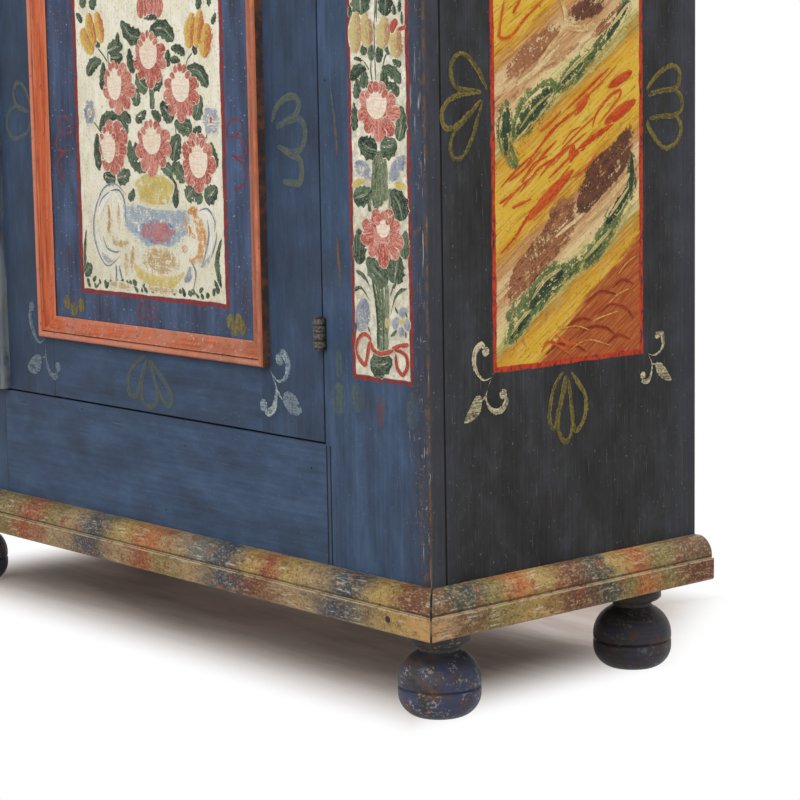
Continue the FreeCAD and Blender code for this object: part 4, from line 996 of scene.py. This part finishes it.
def paint_garland(face):
    """The upright garland on the stiles beside the door, tied with a red ribbon at its foot."""
    lines(face, "stem_green", 0, 13, ((45, 256), (44, 236), (42, 213), (44, 190)),
        ((58, 256), (59, 234), (60, 200)), ((51, 258), (52, 236), (51, 194)))
    lines(face, "stem_green", 0, 8, ((34, 214), (33, 202), (33, 188)), ((68, 216), (70, 205), (68, 190)))
    lines(face, "leaf_green", 1, 6, ((36, 107), (41, 88), (44, 63), (43, 31)),
        ((52, 112), (53, 84), (54, 59), (53, 29)))
    lines(face, "stem_green", 1, 9, ((43, 111), (47, 84), (48, 59), (48, 29)),
        ((60, 108), (60, 82), (58, 57), (58, 30)))
    lines(face, "leaf_green", 0, 2.4, ((49, 448), (48, 414), (46, 392), (47, 332)),
        ((52, 447), (50, 403), (49, 376)), ((22, 360), (29, 356), (36, 348)),
        ((67, 366), (62, 358), (53, 330)), ((40, 359), (39, 346), (42, 332)),
        ((48, 450), (49, 470), (48, 480)))
    leaves(face, (
        ((24, 409), (19, 443), 28, -1), ((65, 407), (68, 441), 21, 0), ((81, 408), (80, 420), 7, 0),
        ((90, 411), (91, 425), 6, 1), ((94, 397), (93, 412), 5, 0), ((4, 407), (3, 421), 7, -1),
        ((30, 365), (25, 379), 11, 1), ((41, 358), (41, 378), 10, 1), ((51, 356), (55, 377), 12, -1),
        ((73, 366), (63, 372), 9, -1), ((24, 358), (9, 361), 5, -1), ((92, 354), (76, 359), 8, 1),
        ((3, 337), (32, 349), 13, 5), ((91, 333), (57, 351), 13, -4), ((23, 328), (29, 347), 14, -1),
        ((10, 316), (14, 339), 12, -3), ((66, 328), (63, 349), 13, 3), ((87, 320), (62, 330), 13, -3)))
    leaves(face, (
        ((7, 279), (8, 312), 12, -2), ((84, 269), (90, 309), 17, -3), ((48, 258), (15, 270), 23, 3),
        ((53, 263), (82, 268), 24, -3), ((4, 203), (38, 213), 20, -2), ((90, 180), (70, 214), 25, -4),
        ((12, 127), (13, 169), 20, -1), ((94, 137), (95, 170), 15, 3), ((62, 108), (26, 136), 25, 2),
        ((73, 108), (82, 142), 26, 1), ((28, 12), (68, 22), 24, -3)))
    lines(face, "leaf_green", 2, 6, ((6, 120), (17, 116), (26, 109), (32, 99)),
        ((2, 96), (9, 100), (18, 99), (32, 85)), ((78, 112), (71, 103), (65, 93)),
        ((95, 104), (84, 101), (74, 92), (66, 72)), shape="comma")
    tulip(face, (((12, 366), (16, 414), 24, 0), ((36, 373), (32, 412), 24, 2), ((60, 371), (64, 408), 25, 1),
                 ((84, 360), (86, 394), 24, 2)), "tulip_pale")
    dabs(face, "ribbon_red", 3, (((76, 388), (86, 403), 12, 2), ((86, 392), (101, 395), 6, 0)))
    dabs(face, "flower_blue", 1, (((36, 226), (6, 240), 20, -4), ((69, 224), (97, 252), 20, 2),
        ((12, 48), (22, 89), 27, 0), ((80, 74), (95, 80), 13, 0), ((73, 56), (80, 71), 13, 2),
        ((95, 56), (96, 71), 13, 1), ((88, 48), (83, 61), 12, 1)))
    dabs(face, "vase_gold", 2, (((2, 216), (25, 224), 10, 1), ((98, 217), (76, 221), 11, 0),
        ((82, 65), (90, 67), 8, 0), ((59, 57), (59, 69), 7, 0)))
    dabs(face, "leaf_green", 3, (((4, 47), (5, 60), 4, 0), ((26, 57), (31, 47), 4, 0),
        ((74, 82), (79, 75), 4, 0), ((92, 78), (95, 71), 4, 0), ((66, 48), (77, 56), 5, 0),
        ((92, 56), (92, 48), 4, 0)))
    rose(face, (50, 303), (36, 32), (48, 311), (18, 16))
    rose(face, (54, 162), (36, 30), (56, 172), (12, 11))
    rose(face, (49, 505), (36, 31), (49, 511), (17, 16))
    leaves(face, (((36, 470), (8, 488), 15, 2), ((62, 470), (90, 488), 15, -2),
        ((40, 534), (10, 540), 13, -4), ((58, 534), (88, 540), 13, 4), ((49, 470), (47, 484), 12, 0)))
    dabs(face, "rose_red", 2, (((46, 540), (36, 566), 12, -2), ((49, 540), (49, 572), 13, 0),
        ((52, 540), (62, 566), 12, 2)))
    lines(face, "ribbon_red", 4, 6.5,
          ((31, 40), (27, 46), (16, 47), (6, 36), (7, 22), (19, 12), (24, 22), (27, 34), (31, 40)),
          ((31, 39), (36, 30), (50, 27), (72, 33)), ((67, 33), (80, 38), (97, 41)),
          ((72, 33), (84, 32), (93, 26), (93, 14), (85, 6), (76, 14), (74, 29)))


def paint_bands(face):
    """Blotches, dry green dabs and red scribbles over the slanting bands of a side field."""
    for chain, width in ((((18, 32), (50, 62), (112, 104), (180, 140), (214, 178), (228, 230)), 32),
                         (((18, 248), (40, 276), (100, 322), (165, 358), (205, 392), (228, 422)), 32),
                         (((18, 500), (60, 530), (130, 575), (174, 594)), 28)):
        face.ribbon(chain, width, "band_moss", 1, "line", "bands", 9.0)
        face.ribbon(chain, 0.6 * width, "band_green", 1, "line", "bands", 9.0)
    dabs(face, "band_pink", 1, (((60, 340), (144, 374), 14, -3), ((22, 78), (63, 128), 20, 8),
        ((144, 172), (226, 222), 15, -3), ((16, 300), (56, 326), 12, 0), ((66, 150), (146, 182), 20, -4),
        ((100, 470), (170, 520), 18, 3)), "bands", soft=5)
    for blotch in (((24, 342), (52, 373), (105, 398), (112, 382), (73, 352), (41, 335)),
                   ((165, 386), (198, 411), (224, 424), (218, 408), (186, 386), (170, 378)),
                   ((136, 188), (97, 176), (57, 142), (29, 112), (20, 80), (49, 88), (89, 118), (132, 152)),
                   ((30, 560), (70, 592), (110, 594), (90, 566), (48, 546))):
        face.area(blotch, "umber", 2, "bands", 10.0, BAND_ANGLE)
    dabs(face, "umber", 2, (((92, 176), (137, 192), 24, 0), ((150, 206), (186, 236), 26, 0),
        ((120, 540), (178, 578), 20, 2)), "bands", soft=8)
    dabs(face, "band_cream", 3, (((120, 392), (176, 396), 9, -4), ((112, 424), (120, 396), 7, 4),
        ((150, 164), (228, 220), 12, -4), ((40, 326), (112, 372), 8, -3), ((100, 150), (150, 176), 7, 0),
        ((128, 396), (70, 344), 5, -3)), "bands", soft=5)
    for blotch in (((124, 408), (142, 424), (176, 430), (186, 418), (172, 404), (150, 398), (132, 396)),
            ((230, 278), (198, 258), (160, 236), (141, 206), (132, 176), (154, 172), (181, 194), (219, 222),
            (233, 252))):
        face.area(blotch, "plum", 3, "bands", 12.0, BAND_ANGLE)
    dabs(face, "band_green", 2, (
        ((25, 246), (26, 312), 32, 3), ((40, 232), (24, 266), 22, 0), ((34, 266), (106, 330), 44, 5),
        ((104, 318), (172, 366), 28, 2), ((161, 359), (208, 399), 22, 0), ((190, 380), (228, 426), 24, 0),
        ((228, 186), (230, 246), 22, 0), ((184, 157), (228, 200), 28, 0), ((166, 134), (214, 175), 26, 2),
        ((146, 112), (193, 147), 28, 2), ((95, 98), (150, 126), 22, -2), ((50, 62), (122, 114), 44, 9),
        ((24, 33), (66, 68), 30, 4), ((22, 60), (57, 91), 24, -2), ((26, 502), (84, 546), 30, 3),
        ((100, 556), (150, 586), 22, 0), ((160, 584), (186, 598), 14, 0)), "bands", soft=6)
    dabs(face, "band_pine", 3, (
        ((24, 252), (27, 304), 20, 2), ((40, 270), (100, 322), 28, 4), ((112, 326), (150, 352), 12, 0),
        ((186, 376), (228, 424), 18, 0), ((228, 196), (231, 240), 14, 0), ((186, 160), (228, 204), 20, 0),
        ((58, 70), (116, 110), 28, 6), ((150, 118), (180, 140), 12, 0), ((28, 38), (60, 64), 16, 2),
        ((34, 510), (80, 542), 18, 2)), "bands", soft=7)
    dabs(face, "band_moss", 4, (((44, 276), (98, 318), 5, 4), ((36, 262), (60, 280), 4, 0),
        ((112, 330), (168, 368), 5, 2), ((62, 80), (112, 114), 5, 6), ((30, 44), (62, 70), 4, 2),
        ((150, 122), (196, 156), 5, 0), ((190, 168), (226, 204), 4, 0), ((196, 392), (226, 420), 4, 0)),
        "bands")
    dabs(face, "band_red", 3, (((134, 290), (159, 315), 12, 0), ((127, 236), (133, 257), 12, 0),
        ((57, 172), (134, 228), 15, 2), ((184, 279), (238, 306), 16, 0), ((190, 321), (232, 340), 13, 0),
        ((136, 249), (200, 279), 9, 1)), "bands")
    lines(face, "band_red", 3, 5.6, ((24, 424), (20, 407), (16, 382), (34, 383), (58, 404), (92, 428)),
        ((36, 407), (42, 415), (50, 424)), ((157, 313), (136, 296), (104, 278), (78, 257), (48, 227)),
        ((106, 263), (85, 248), (56, 224), (43, 209)), ((134, 255), (122, 253), (98, 239), (77, 222)),
        ((127, 240), (138, 246), (153, 253)), ((164, 275), (170, 290), (190, 309), (211, 318), (206, 306),
        (172, 278)), ((128, 233), (94, 206), (61, 180), (36, 154), (12, 136)),
        ((32, 188), (46, 192), (64, 197)), ((12, 194), (30, 202), (50, 213)),
        ((77, 18), (89, 29), (106, 23), (126, 10)), ((100, 38), (118, 26), (144, 20)),
        ((40, 450), (90, 490), (150, 520), (110, 480), (44, 452)), ((120, 450), (180, 500), (236, 538)),
        ground="bands", shape="leaf")
    for _ in range(SCRIBBLES):
        u, run = face.random.uniform(14, 140), face.random.uniform(30, 80)
        v = face.random.uniform(134, 236) + BAND_SLOPE * u
        lines(face, "band_red", 3, face.random.uniform(3.0, 5.5),
            ((u, v), (u + run / 2, v + BAND_SLOPE * run / 2 + face.random.uniform(-7, 7)),
            (u + run, v + BAND_SLOPE * run)), ground="bands", shape="leaf")
    lines(face, "band_dark", 3, 5.0, ((84, 14), (104, 25), (130, 23), (152, 12)),
        ((136, 30), (158, 41), (184, 38), (206, 25)), ((168, 54), (194, 65), (220, 58), (234, 44)),
        ((116, 42), (140, 52), (164, 48)), ((196, 84), (214, 93), (234, 86)),
        ((186, 18), (206, 27), (228, 20)), ((150, 70), (176, 82), (204, 76)), ground="bands", shape="leaf")
    lines(face, "band_scratch", 4, 2.4, ((126, 17), (142, 24), (162, 25), (198, 14)),
        ((157, 46), (182, 52), (208, 56)), ((190, 66), (206, 76), (226, 82)),
        ((106, 42), (135, 44), (160, 36)), ((206, 100), (220, 112), (236, 120)), ground="bands",
        shape="leaf")


def scroll(face, pigment, width, curl, hook, leaf, leaf_pigment=None):
    """A corner flourish: a curl up and a hook down that end in drops, and a leaf on a thin stem."""
    for stroke in (curl, hook):
        face.ribbon(stroke, width, pigment, 1, "drop")
        face.blob(stroke[-1], (0.7 * width, 0.75 * width), pigment, 1)
    face.ribbon([hook[1], (Vector(hook[1]) + Vector(leaf[0])) / 2, leaf[0]], 0.35 * width, pigment, 1)
    face.area(leaf, leaf_pigment or pigment, 1)


def mirrored(petals, axis):
    """The same petals on the other side of an upright axis."""
    return [[(2 * axis - u, v) for u, v in petal] for petal in petals]


# Outlined petals: round the fields of the sides, round the mouldings of the door, and round its fields
SIDE_FRONT_FLEUR = (((-4, 322), (-18, 345), (-34, 361), (-50, 362), (-59, 350), (-58, 336), (-50, 326),
    (-36, 323), (-13, 321)), ((-13, 320), (-42, 319), (-62, 313), (-72, 302), (-72, 288), (-64, 281),
    (-50, 285), (-31, 298), (-13, 312)), ((-13, 312), (-42, 287), (-55, 277), (-61, 262), (-58, 250),
    (-52, 247), (-42, 250), (-29, 268), (-11, 312)))
SIDE_REAR_FLEUR = (((255, 316), (270, 331), (287, 341), (302, 345), (313, 339), (314, 329), (308, 319),
    (281, 316), (259, 310)), ((262, 314), (281, 315), (304, 316), (317, 307), (318, 294), (306, 286),
    (281, 285), (260, 283)), ((257, 282), (262, 269), (277, 254), (291, 247), (308, 252), (317, 266),
    (315, 278), (306, 285)))
SIDE_LOW_FLEUR = (((113, -8), (100, -22), (92, -41), (90, -60), (94, -72), (100, -71), (105, -53),
    (113, -27), (118, -12)), ((119, -13), (113, -34), (105, -60), (105, -79), (115, -92), (125, -84),
    (128, -67), (125, -39), (121, -15)), ((126, -10), (139, -25), (150, -41), (150, -60), (142, -75),
    (133, -80), (128, -67)))
HINGE_FLEUR = (
    ((298, 687), (307, 705), (325, 716), (343, 718), (350, 709), (343, 697), (327, 690), (305, 682)),
    ((305, 681), (330, 690), (350, 692), (360, 682), (359, 666), (348, 655), (332, 653), (307, 660)),
    ((309, 660), (334, 650), (350, 644), (353, 631), (348, 618), (332, 617), (316, 618)))
LOCK_FLEUR = (
    ((-225, 700), (-240, 728), (-258, 736), (-270, 722), (-262, 704), (-236, 696)),
    ((-230, 696), (-262, 704), (-284, 694), (-288, 674), (-272, 660), (-240, 668), (-228, 684)))
LOW_FLEUR = (
    ((23, 387), (-7, 370), (-18, 348), (-15, 333), (1, 333), (13, 357), (25, 381)),
    ((26, 381), (13, 353), (13, 327), (32, 320), (48, 335), (40, 361), (29, 381)),
    ((30, 382), (62, 357), (78, 338), (70, 326), (52, 340), (36, 366)))
FIELD_FLEUR = (
    ((323, 203), (328, 220), (339, 226), (353, 223), (354, 214), (342, 206), (326, 203)),
    ((327, 203), (350, 204), (361, 195), (361, 185), (347, 180), (333, 182)),
    ((339, 180), (355, 172), (361, 159), (353, 146), (336, 141)))
FIELD_LOW_FLEUR = (((145, -8), (131, -14), (127, -27), (140, -30), (147, -14)),
    ((147, -10), (153, -30), (164, -28), (166, -17), (150, -9)))


def paint_door(level, rise):
    """The flower piece of one door panel, with the red loops and olive dabs in the blue round it."""
    width, height = DOOR_FIELD[2:]
    face = Face(f"flower_piece_{level}", "door", "panel_paint",
                (DOOR_CORNER[0], PANEL_FACE, DOOR_CORNER[1] + rise), RIGHT, "ivory")
    paint_vase(face)
    paint_bouquet(face)
    for petals in (FIELD_FLEUR, mirrored(FIELD_FLEUR, width / 2), FIELD_LOW_FLEUR):
        lines(face, "faded_red", 1, 4.0, *petals, ground="panel")
    for u, v in ((-40, -22), (-6, -24), (-24, -30), (322, -22), (338, -20), (330, -30), (346, -28),
                 (-36, height + 16), (-10, height + 20), (326, height + 18), (344, height + 22)):
        size = face.random.uniform(15, 21)
        dabs(face, "olive", 1, (((u, v - 9), (u + 2, v + 10), size, 0),), "panel", soft=6)
    face.done()


def paint_door_frame(level, rise):
    """Scrolls at the corners of one moulding, and fleurs beside and below it."""
    face = Face(f"door_ornament_{level}", "door", "blue_paint", (0, FRONT, rise), RIGHT, "blue")
    scroll(face, "scroll_pale", 11.0,
           ((285, 388), (298, 378), (314, 385), (318, 401), (308, 413), (302, 405)),
           ((284, 390), (294, 368), (289, 345), (277, 338), (269, 346)),
           ((306, 356), (314, 367), (331, 363), (343, 344), (322, 340)), "scroll_dim")
    scroll(face, "scroll_dim", 9.0,
           ((-212, 391), (-226, 384), (-240, 394), (-249, 418), (-244, 432)),
           ((-210, 391), (-213, 364), (-204, 344), (-190, 340), (-184, 354)),
           ((-224, 364), (-238, 366), (-252, 358), (-260, 346), (-244, 338), (-228, 346)))
    lines(face, "faded_olive", 1, 9.0, *HINGE_FLEUR)
    lines(face, "dim_olive", 1, 8.0, *LOW_FLEUR)
    lines(face, "dim_olive", 1, 6.0, *LOCK_FLEUR)
    face.done()


def paint_stile(side):
    """Both garlands of one front stile, with smudges and drips beside them; side is +1 on the right."""
    name = "right" if side > 0 else "left"
    for level, rise in (("lower", 0.0), ("upper", PANEL_RISE)):
        corner = (side * STILE_CORNER[0], FRONT, STILE_CORNER[1] + rise)
        face = Face(f"garland_{name}_{level}", "case", "blue_paint", corner, RIGHT * side, "ivory")
        paint_garland(face)
        dabs(face, "hazy_olive", 1, (
            ((-28, -8), (-28, 28), 20, 0), ((-31, -54), (-28, -12), 32, 0), ((5, -46), (5, -10), 30, 0),
            ((100, -56), (101, -12), 26, 0), ((-33, 330), (-28, 296), 5, 0)), "blue", soft=13)
        dabs(face, "hazy_red", 1, (((45, -58), (46, -20), 24, 0),), "blue", soft=11)
        dabs(face, "faded_brown", 1, (((-28, 304), (-23, 250), 5, 0), ((-27, 160), (-22, 96), 6, 0)),
            "blue", soft=3)
        dabs(face, "scroll_pale", 1, (((-38, 500), (-30, 428), 5, 1),), "blue")
        face.done()


def paint_side(side):
    """Both banded fields of one side, with fleurs and scrolls round them; side is +1 on the right."""
    name = "right" if side > 0 else "left"
    for level, rise in (("lower", 0.0), ("upper", PANEL_RISE)):
        corner = (side * SIDE, SIDE_CORNER[0], SIDE_CORNER[1] + rise)
        face = Face(f"side_field_{name}_{level}", "case", "dark_paint", corner, REARWARD, "dark")
        paint_bands(face)
        lines(face, "olive", 1, 7.0, *SIDE_FRONT_FLEUR, *SIDE_REAR_FLEUR, *SIDE_LOW_FLEUR)
        scroll(face, "scroll_cream", 8.5,
               ((0, -3), (-15, -5), (-27, 8), (-28, 26), (-18, 36), (-11, 27)),
               ((-2, -3), (-11, -24), (-5, -39), (9, -44), (21, -34), (16, -24)),
               ((-17, -28), (-25, -22), (-36, -34), (-46, -52), (-24, -46)))
        scroll(face, "scroll_cream", 6.5,
               ((257, 0), (271, -3), (284, 6), (283, 22), (275, 21)),
               ((258, -1), (265, -14), (260, -32), (250, -33), (249, -26)),
               ((271, -14), (281, -13), (292, -24), (300, -38), (278, -30)))
        face.done()


# Small fasteners: pegs in the front of the base, nails in the back boards
PEG_INSET, PEG_RISE, PEG_RADIUS = 73.0, 16.0, 4.0
NAIL_INSET, NAIL_RADIUS, NAIL_SIDES = 45.0, 3.2, 7
NAIL_HEIGHTS = (290, 682, 1075, 1467, 1880)


def nail_heads(name, body, places, outward, radius):
    """Hand-forged nail heads: low faceted domes, each a little different."""
    mesh = bmesh.new()
    dice = random.Random(name)
    out = Vector(outward)
    beside = out.orthogonal().normalized()
    above = out.cross(beside)
    for place in places:
        rings = []
        for reach, height in ((1.0, -0.6), (1.0, 0.25), (0.55, 0.5)):
            ring = []
            for index in range(NAIL_SIDES):
                angle = 2 * math.pi * index / NAIL_SIDES
                far = radius * reach * dice.uniform(0.88, 1.08)
                sideways = (beside * math.cos(angle) + above * math.sin(angle)) * far
                spot = Vector(place) + sideways + out * radius * height
                ring.append(mesh.verts.new(spot * MM))
            rings.append(ring)
        for low, high in zip(rings, rings[1:]):
            for index in range(NAIL_SIDES):
                after = (index + 1) % NAIL_SIDES
                mesh.faces.new((low[index], low[after], high[after], high[index]))
        mesh.faces.new(rings[-1])
        mesh.faces.new(list(reversed(rings[0])))
    bmesh.ops.recalc_face_normals(mesh, faces=mesh.faces)
    add_piece(name, mesh, [MATERIALS["iron"]], body)


def make_nails():
    """The pegs of the base and the nails of the back."""
    ends = BASE_LOW.x + PEG_INSET, BASE_HIGH.x - PEG_INSET
    pegs = [(x, BASE_LOW.y, BASE_LOW.z + PEG_RISE) for x in ends]
    nail_heads("base_pegs", "case", pegs, (0, -1, 0), PEG_RADIUS)
    places = []
    for board in range(1, 6):
        low, high = box_of(f"back_board_{board}")
        for x in (low.x + NAIL_INSET, high.x - NAIL_INSET):
            places.extend((x, BACK, z) for z in NAIL_HEIGHTS)
    nail_heads("back_nails", "case", places, (0, 1, 0), NAIL_RADIUS)


# Materials of the CAD nodes

MATERIALS = {
    "iron": metal("iron", (34, 32, 32), (70, 66, 64), 0.6, 0.45),
    "brass": metal("brass", (96, 74, 40), (160, 128, 74), 0.9, 0.35),
    "hinge": hinge_iron(),
    "feet": foot_paint(),
    "panel": panel_board(),
    "cover": cover_paint(),
    "side_right": side_board("side_right", 1),
    "side_left": side_board("side_left", -1),
    "stile_right": front_board("stile_right", "z", 1),
    "stile_left": front_board("stile_left", "z", -1),
    "blue_x": front_board("blue_x", "x"),
    "back": bare_wood("back", "z", painted_ends=True),
}
for run in "xy":
    MATERIALS[f"wood_{run}"] = bare_wood(f"wood_{run}", run)
    MATERIALS[f"marble_{run}"] = marbled_paint(f"marble_{run}", run)
for run, soot in (("x", 0.1), ("z", 0.35)):
    MATERIALS[f"orange_{run}"] = orange_paint(f"orange_{run}", run)
    MATERIALS[f"door_{run}"] = front_board(f"door_{run}", run, soot=soot)

# Material and rounding of the rims of each node, by how its name starts and ends; the first that fits counts
FINISHES = (
    ("foot_blocks", "", "wood_y", 1.0),
    ("foot_", "", "feet", 0.0),
    ("panel_moulding", "top", "orange_x", 0.6),
    ("panel_moulding", "bottom", "orange_x", 0.6),
    ("panel_moulding", "", "orange_z", 0.6),
    ("base_moulding", "front", "marble_x", 1.0),
    ("base_moulding", "", "marble_y", 1.0),
    ("cornice", "front", "marble_x", 1.0),
    ("cornice", "", "marble_y", 1.0),
    ("front_stile", "right", "stile_right", 1.6),
    ("front_stile", "left", "stile_left", 1.6),
    ("front_rail", "", "blue_x", 1.2),
    ("side_board", "right", "side_right", 1.6),
    ("side_board", "left", "side_left", 1.6),
    ("door_rail", "", "door_x", 1.2),
    ("door_stile", "", "door_z", 1.2),
    ("door_panel", "", "panel", 0.0),
    ("cover_strip", "", "cover", 1.2),
    ("back_board", "", "back", 1.0),
    ("shelf_cleats", "", "wood_y", 1.0),
    ("shelf", "", "wood_x", 1.0),
    ("floor", "", "wood_x", 1.0),
    ("top", "", "wood_x", 1.0),
    ("keyhole_plate", "", "brass", 0.0),
    ("hinge_case", "", "hinge", 0.0),
    ("hinge_door", "", "hinge", 0.0),
    ("", "", "iron", 0.0),
)
WELD_GAP = 0.01
RIM_SEGMENTS, RIM_ANGLE = 2, 40.0


def dress_nodes():
    """Gives each CAD node its material and, where it is wooden, slightly rounded rims."""
    for name, node in NODES.items():
        fitting = (row[2:] for row in FINISHES if name.startswith(row[0]) and name.endswith(row[1]))
        material, rim = next(fitting)
        node.data.materials.clear()
        node.data.materials.append(MATERIALS[material])
        if rim:
            weld = node.modifiers.new("weld", "WELD")
            weld.merge_threshold = WELD_GAP * MM
            bevel = node.modifiers.new("rims", "BEVEL")
            bevel.width = rim * MM
            bevel.segments = RIM_SEGMENTS
            bevel.limit_method = "ANGLE"
            bevel.angle_limit = math.radians(RIM_ANGLE)
            bevel.harden_normals = False


# Stage: floor, light and camera

WHITE = (255, 255, 255)
FLOOR_SIZE = 14.0
# Painted shadow edge of the floor: where its glow starts and ends, and how far it reaches in front, to the
# sides and behind
SHADE_END, WHITE_START = -195.0, -8.0
FRONT_SHADE = 18.0
SHADE_MIDDLE, SHADE_REACH = -41.0, 19.0
REAR_SHADE = 330.0
SHADOW_INSET, SHADOW_SLANT = 60.0, 0.63
AMBIENT = 0.48


def white_for_camera(tree, shader, white, far=None):
    """Camera, glossy and transmitted rays see the white, not the shader, as far as the far mask is 1."""
    path = add_node(tree, "LightPath", {})
    seen = path.outputs["Is Camera Ray"]
    for kind in ("Is Glossy Ray", "Is Transmission Ray"):
        seen = add_node(tree, "Math", {0: seen, 1: path.outputs[kind]}, operation="MAXIMUM").outputs[0]
    if far is not None:
        seen = add_node(tree, "Math", {0: seen, 1: far}, operation="MULTIPLY").outputs[0]
    return add_node(tree, "MixShader", {0: seen, 1: shader, 2: white.outputs[0]}).outputs[0]


def make_floor():
    """A pale studio floor that keeps the object's shadow near it and fades to white away from it, with a
    painted shadow edge between.
    """
    half = FLOOR_SIZE / 2
    data = bpy.data.meshes.new("floor")
    data.from_pydata([(-half, -half, 0), (half, -half, 0), (half, half, 0), (-half, half, 0)], [],
                     [(0, 1, 2, 3)])
    floor = bpy.data.objects.new("floor", data)
    bpy.context.scene.collection.objects.link(floor)
    g = Graph("floor")
    smudge = g.noise((260.0, 60.0, 60.0), detail=6.0, seed=35.0)
    colour = g.ramp(smudge, (0.34, (186, 172, 163)), (0.62, (226, 214, 206)))
    data.materials.append(g.finish(colour, 0.7, specular=0.2))
    surface = next(n for n in g.tree.nodes if n.type == "BSDF_PRINCIPLED")
    output = next(n for n in g.tree.nodes if n.type == "OUTPUT_MATERIAL")
    beyond_x = g.add(g.apart(g.x, SHADE_MIDDLE), -BASE_HIGH.x - SHADE_REACH)
    in_front = g.add(g.times(g.y, -1.0), BASE_LOW.y - FRONT_SHADE)
    beyond_y = g.math("MAXIMUM", in_front, g.add(g.y, -BACK - REAR_SHADE))
    behind = g.times(g.add(g.y, SHADOW_INSET - BACK), SHADOW_SLANT)
    beyond_rear = g.add(g.add(g.x, -BASE_HIGH.x), behind)
    away = g.math("MAXIMUM", g.math("MAXIMUM", beyond_x, beyond_y), beyond_rear)
    far = g.step(away, SHADE_END, WHITE_START)
    # Painted shadow: in the band between, camera rays see a glow that runs from warm grey to white
    white = g.node("Emission", {"Color": g.ramp(far, (0.0, (192, 178, 168)), (1.0, WHITE)), "Strength": 1.0})
    g.tree.links.new(white_for_camera(g.tree, surface.outputs[0], white, far), output.inputs[0])


def make_world():
    """Even light from all sides; the camera sees plain white behind the object."""
    world = bpy.data.worlds.new("studio")
    world.use_nodes = True
    tree = world.node_tree
    tree.nodes.clear()
    sky = add_node(tree, "Background", {"Color": WHITE, "Strength": AMBIENT})
    white = add_node(tree, "Background", {"Color": WHITE, "Strength": 1.0})
    add_node(tree, "OutputWorld", {0: white_for_camera(tree, sky.outputs[0], white)})
    bpy.context.scene.world = world


def add_light(name, place, target, size, power):
    """A square soft light, with its place, target and size in metres."""
    data = bpy.data.lights.new(name, "AREA")
    data.size = size
    data.energy = power
    light = bpy.data.objects.new(name, data)
    light.location = place
    light.rotation_euler = (Vector(target) - Vector(place)).to_track_quat("-Z", "Y").to_euler()
    bpy.context.scene.collection.objects.link(light)


# Name, place, target, size and power of each lamp
LIGHTS = (
    ("key", (1.6, -3.6, 3.0), (0.1, -0.1, 0.7), 2.4, 100.0),
    ("top", (1.5, 1.4, 3.6), (0.0, 0.0, 0.4), 2.6, 69.0),
)
CAMERA_PLACE = (2566.7, -1967.0, 764.1)
CAMERA_YAW, CAMERA_PITCH, CAMERA_ROLL = -49.035, 8.138, 0.946
CAMERA_LENS, CAMERA_SENSOR, CAMERA_REACH = 108.54, 36.0, 60.0


def make_camera():
    """The camera of the photo: turned by yaw, tipped down by pitch and rolled."""
    yaw, pitch, roll = (math.radians(angle) for angle in (CAMERA_YAW, CAMERA_PITCH, CAMERA_ROLL))
    ahead = Vector((math.cos(pitch) * math.sin(yaw), math.cos(pitch) * math.cos(yaw), -math.sin(pitch)))
    level = Vector((math.cos(yaw), -math.sin(yaw), 0.0))
    down = ahead.cross(level)
    right = level * math.cos(roll) + down * math.sin(roll)
    up = level * math.sin(roll) - down * math.cos(roll)
    data = bpy.data.cameras.new("camera")
    data.lens = CAMERA_LENS
    data.sensor_width = CAMERA_SENSOR
    data.clip_end = CAMERA_REACH
    camera = bpy.data.objects.new("camera", data)
    turn = Matrix((right, up, -ahead)).transposed().to_4x4()
    camera.matrix_world = Matrix.Translation(Vector(CAMERA_PLACE) * MM) @ turn
    bpy.context.scene.collection.objects.link(camera)
    bpy.context.scene.camera = camera


dress_nodes()
for storey, lift in (("lower", 0.0), ("upper", PANEL_RISE)):
    paint_door(storey, lift)
    paint_door_frame(storey, lift)
for hand in (1, -1):
    paint_stile(hand)
    paint_side(hand)
make_nails()
make_floor()
make_world()
for lamp in LIGHTS:
    add_light(*lamp)
make_camera()
bpy.context.scene.view_settings.view_transform = "Standard"
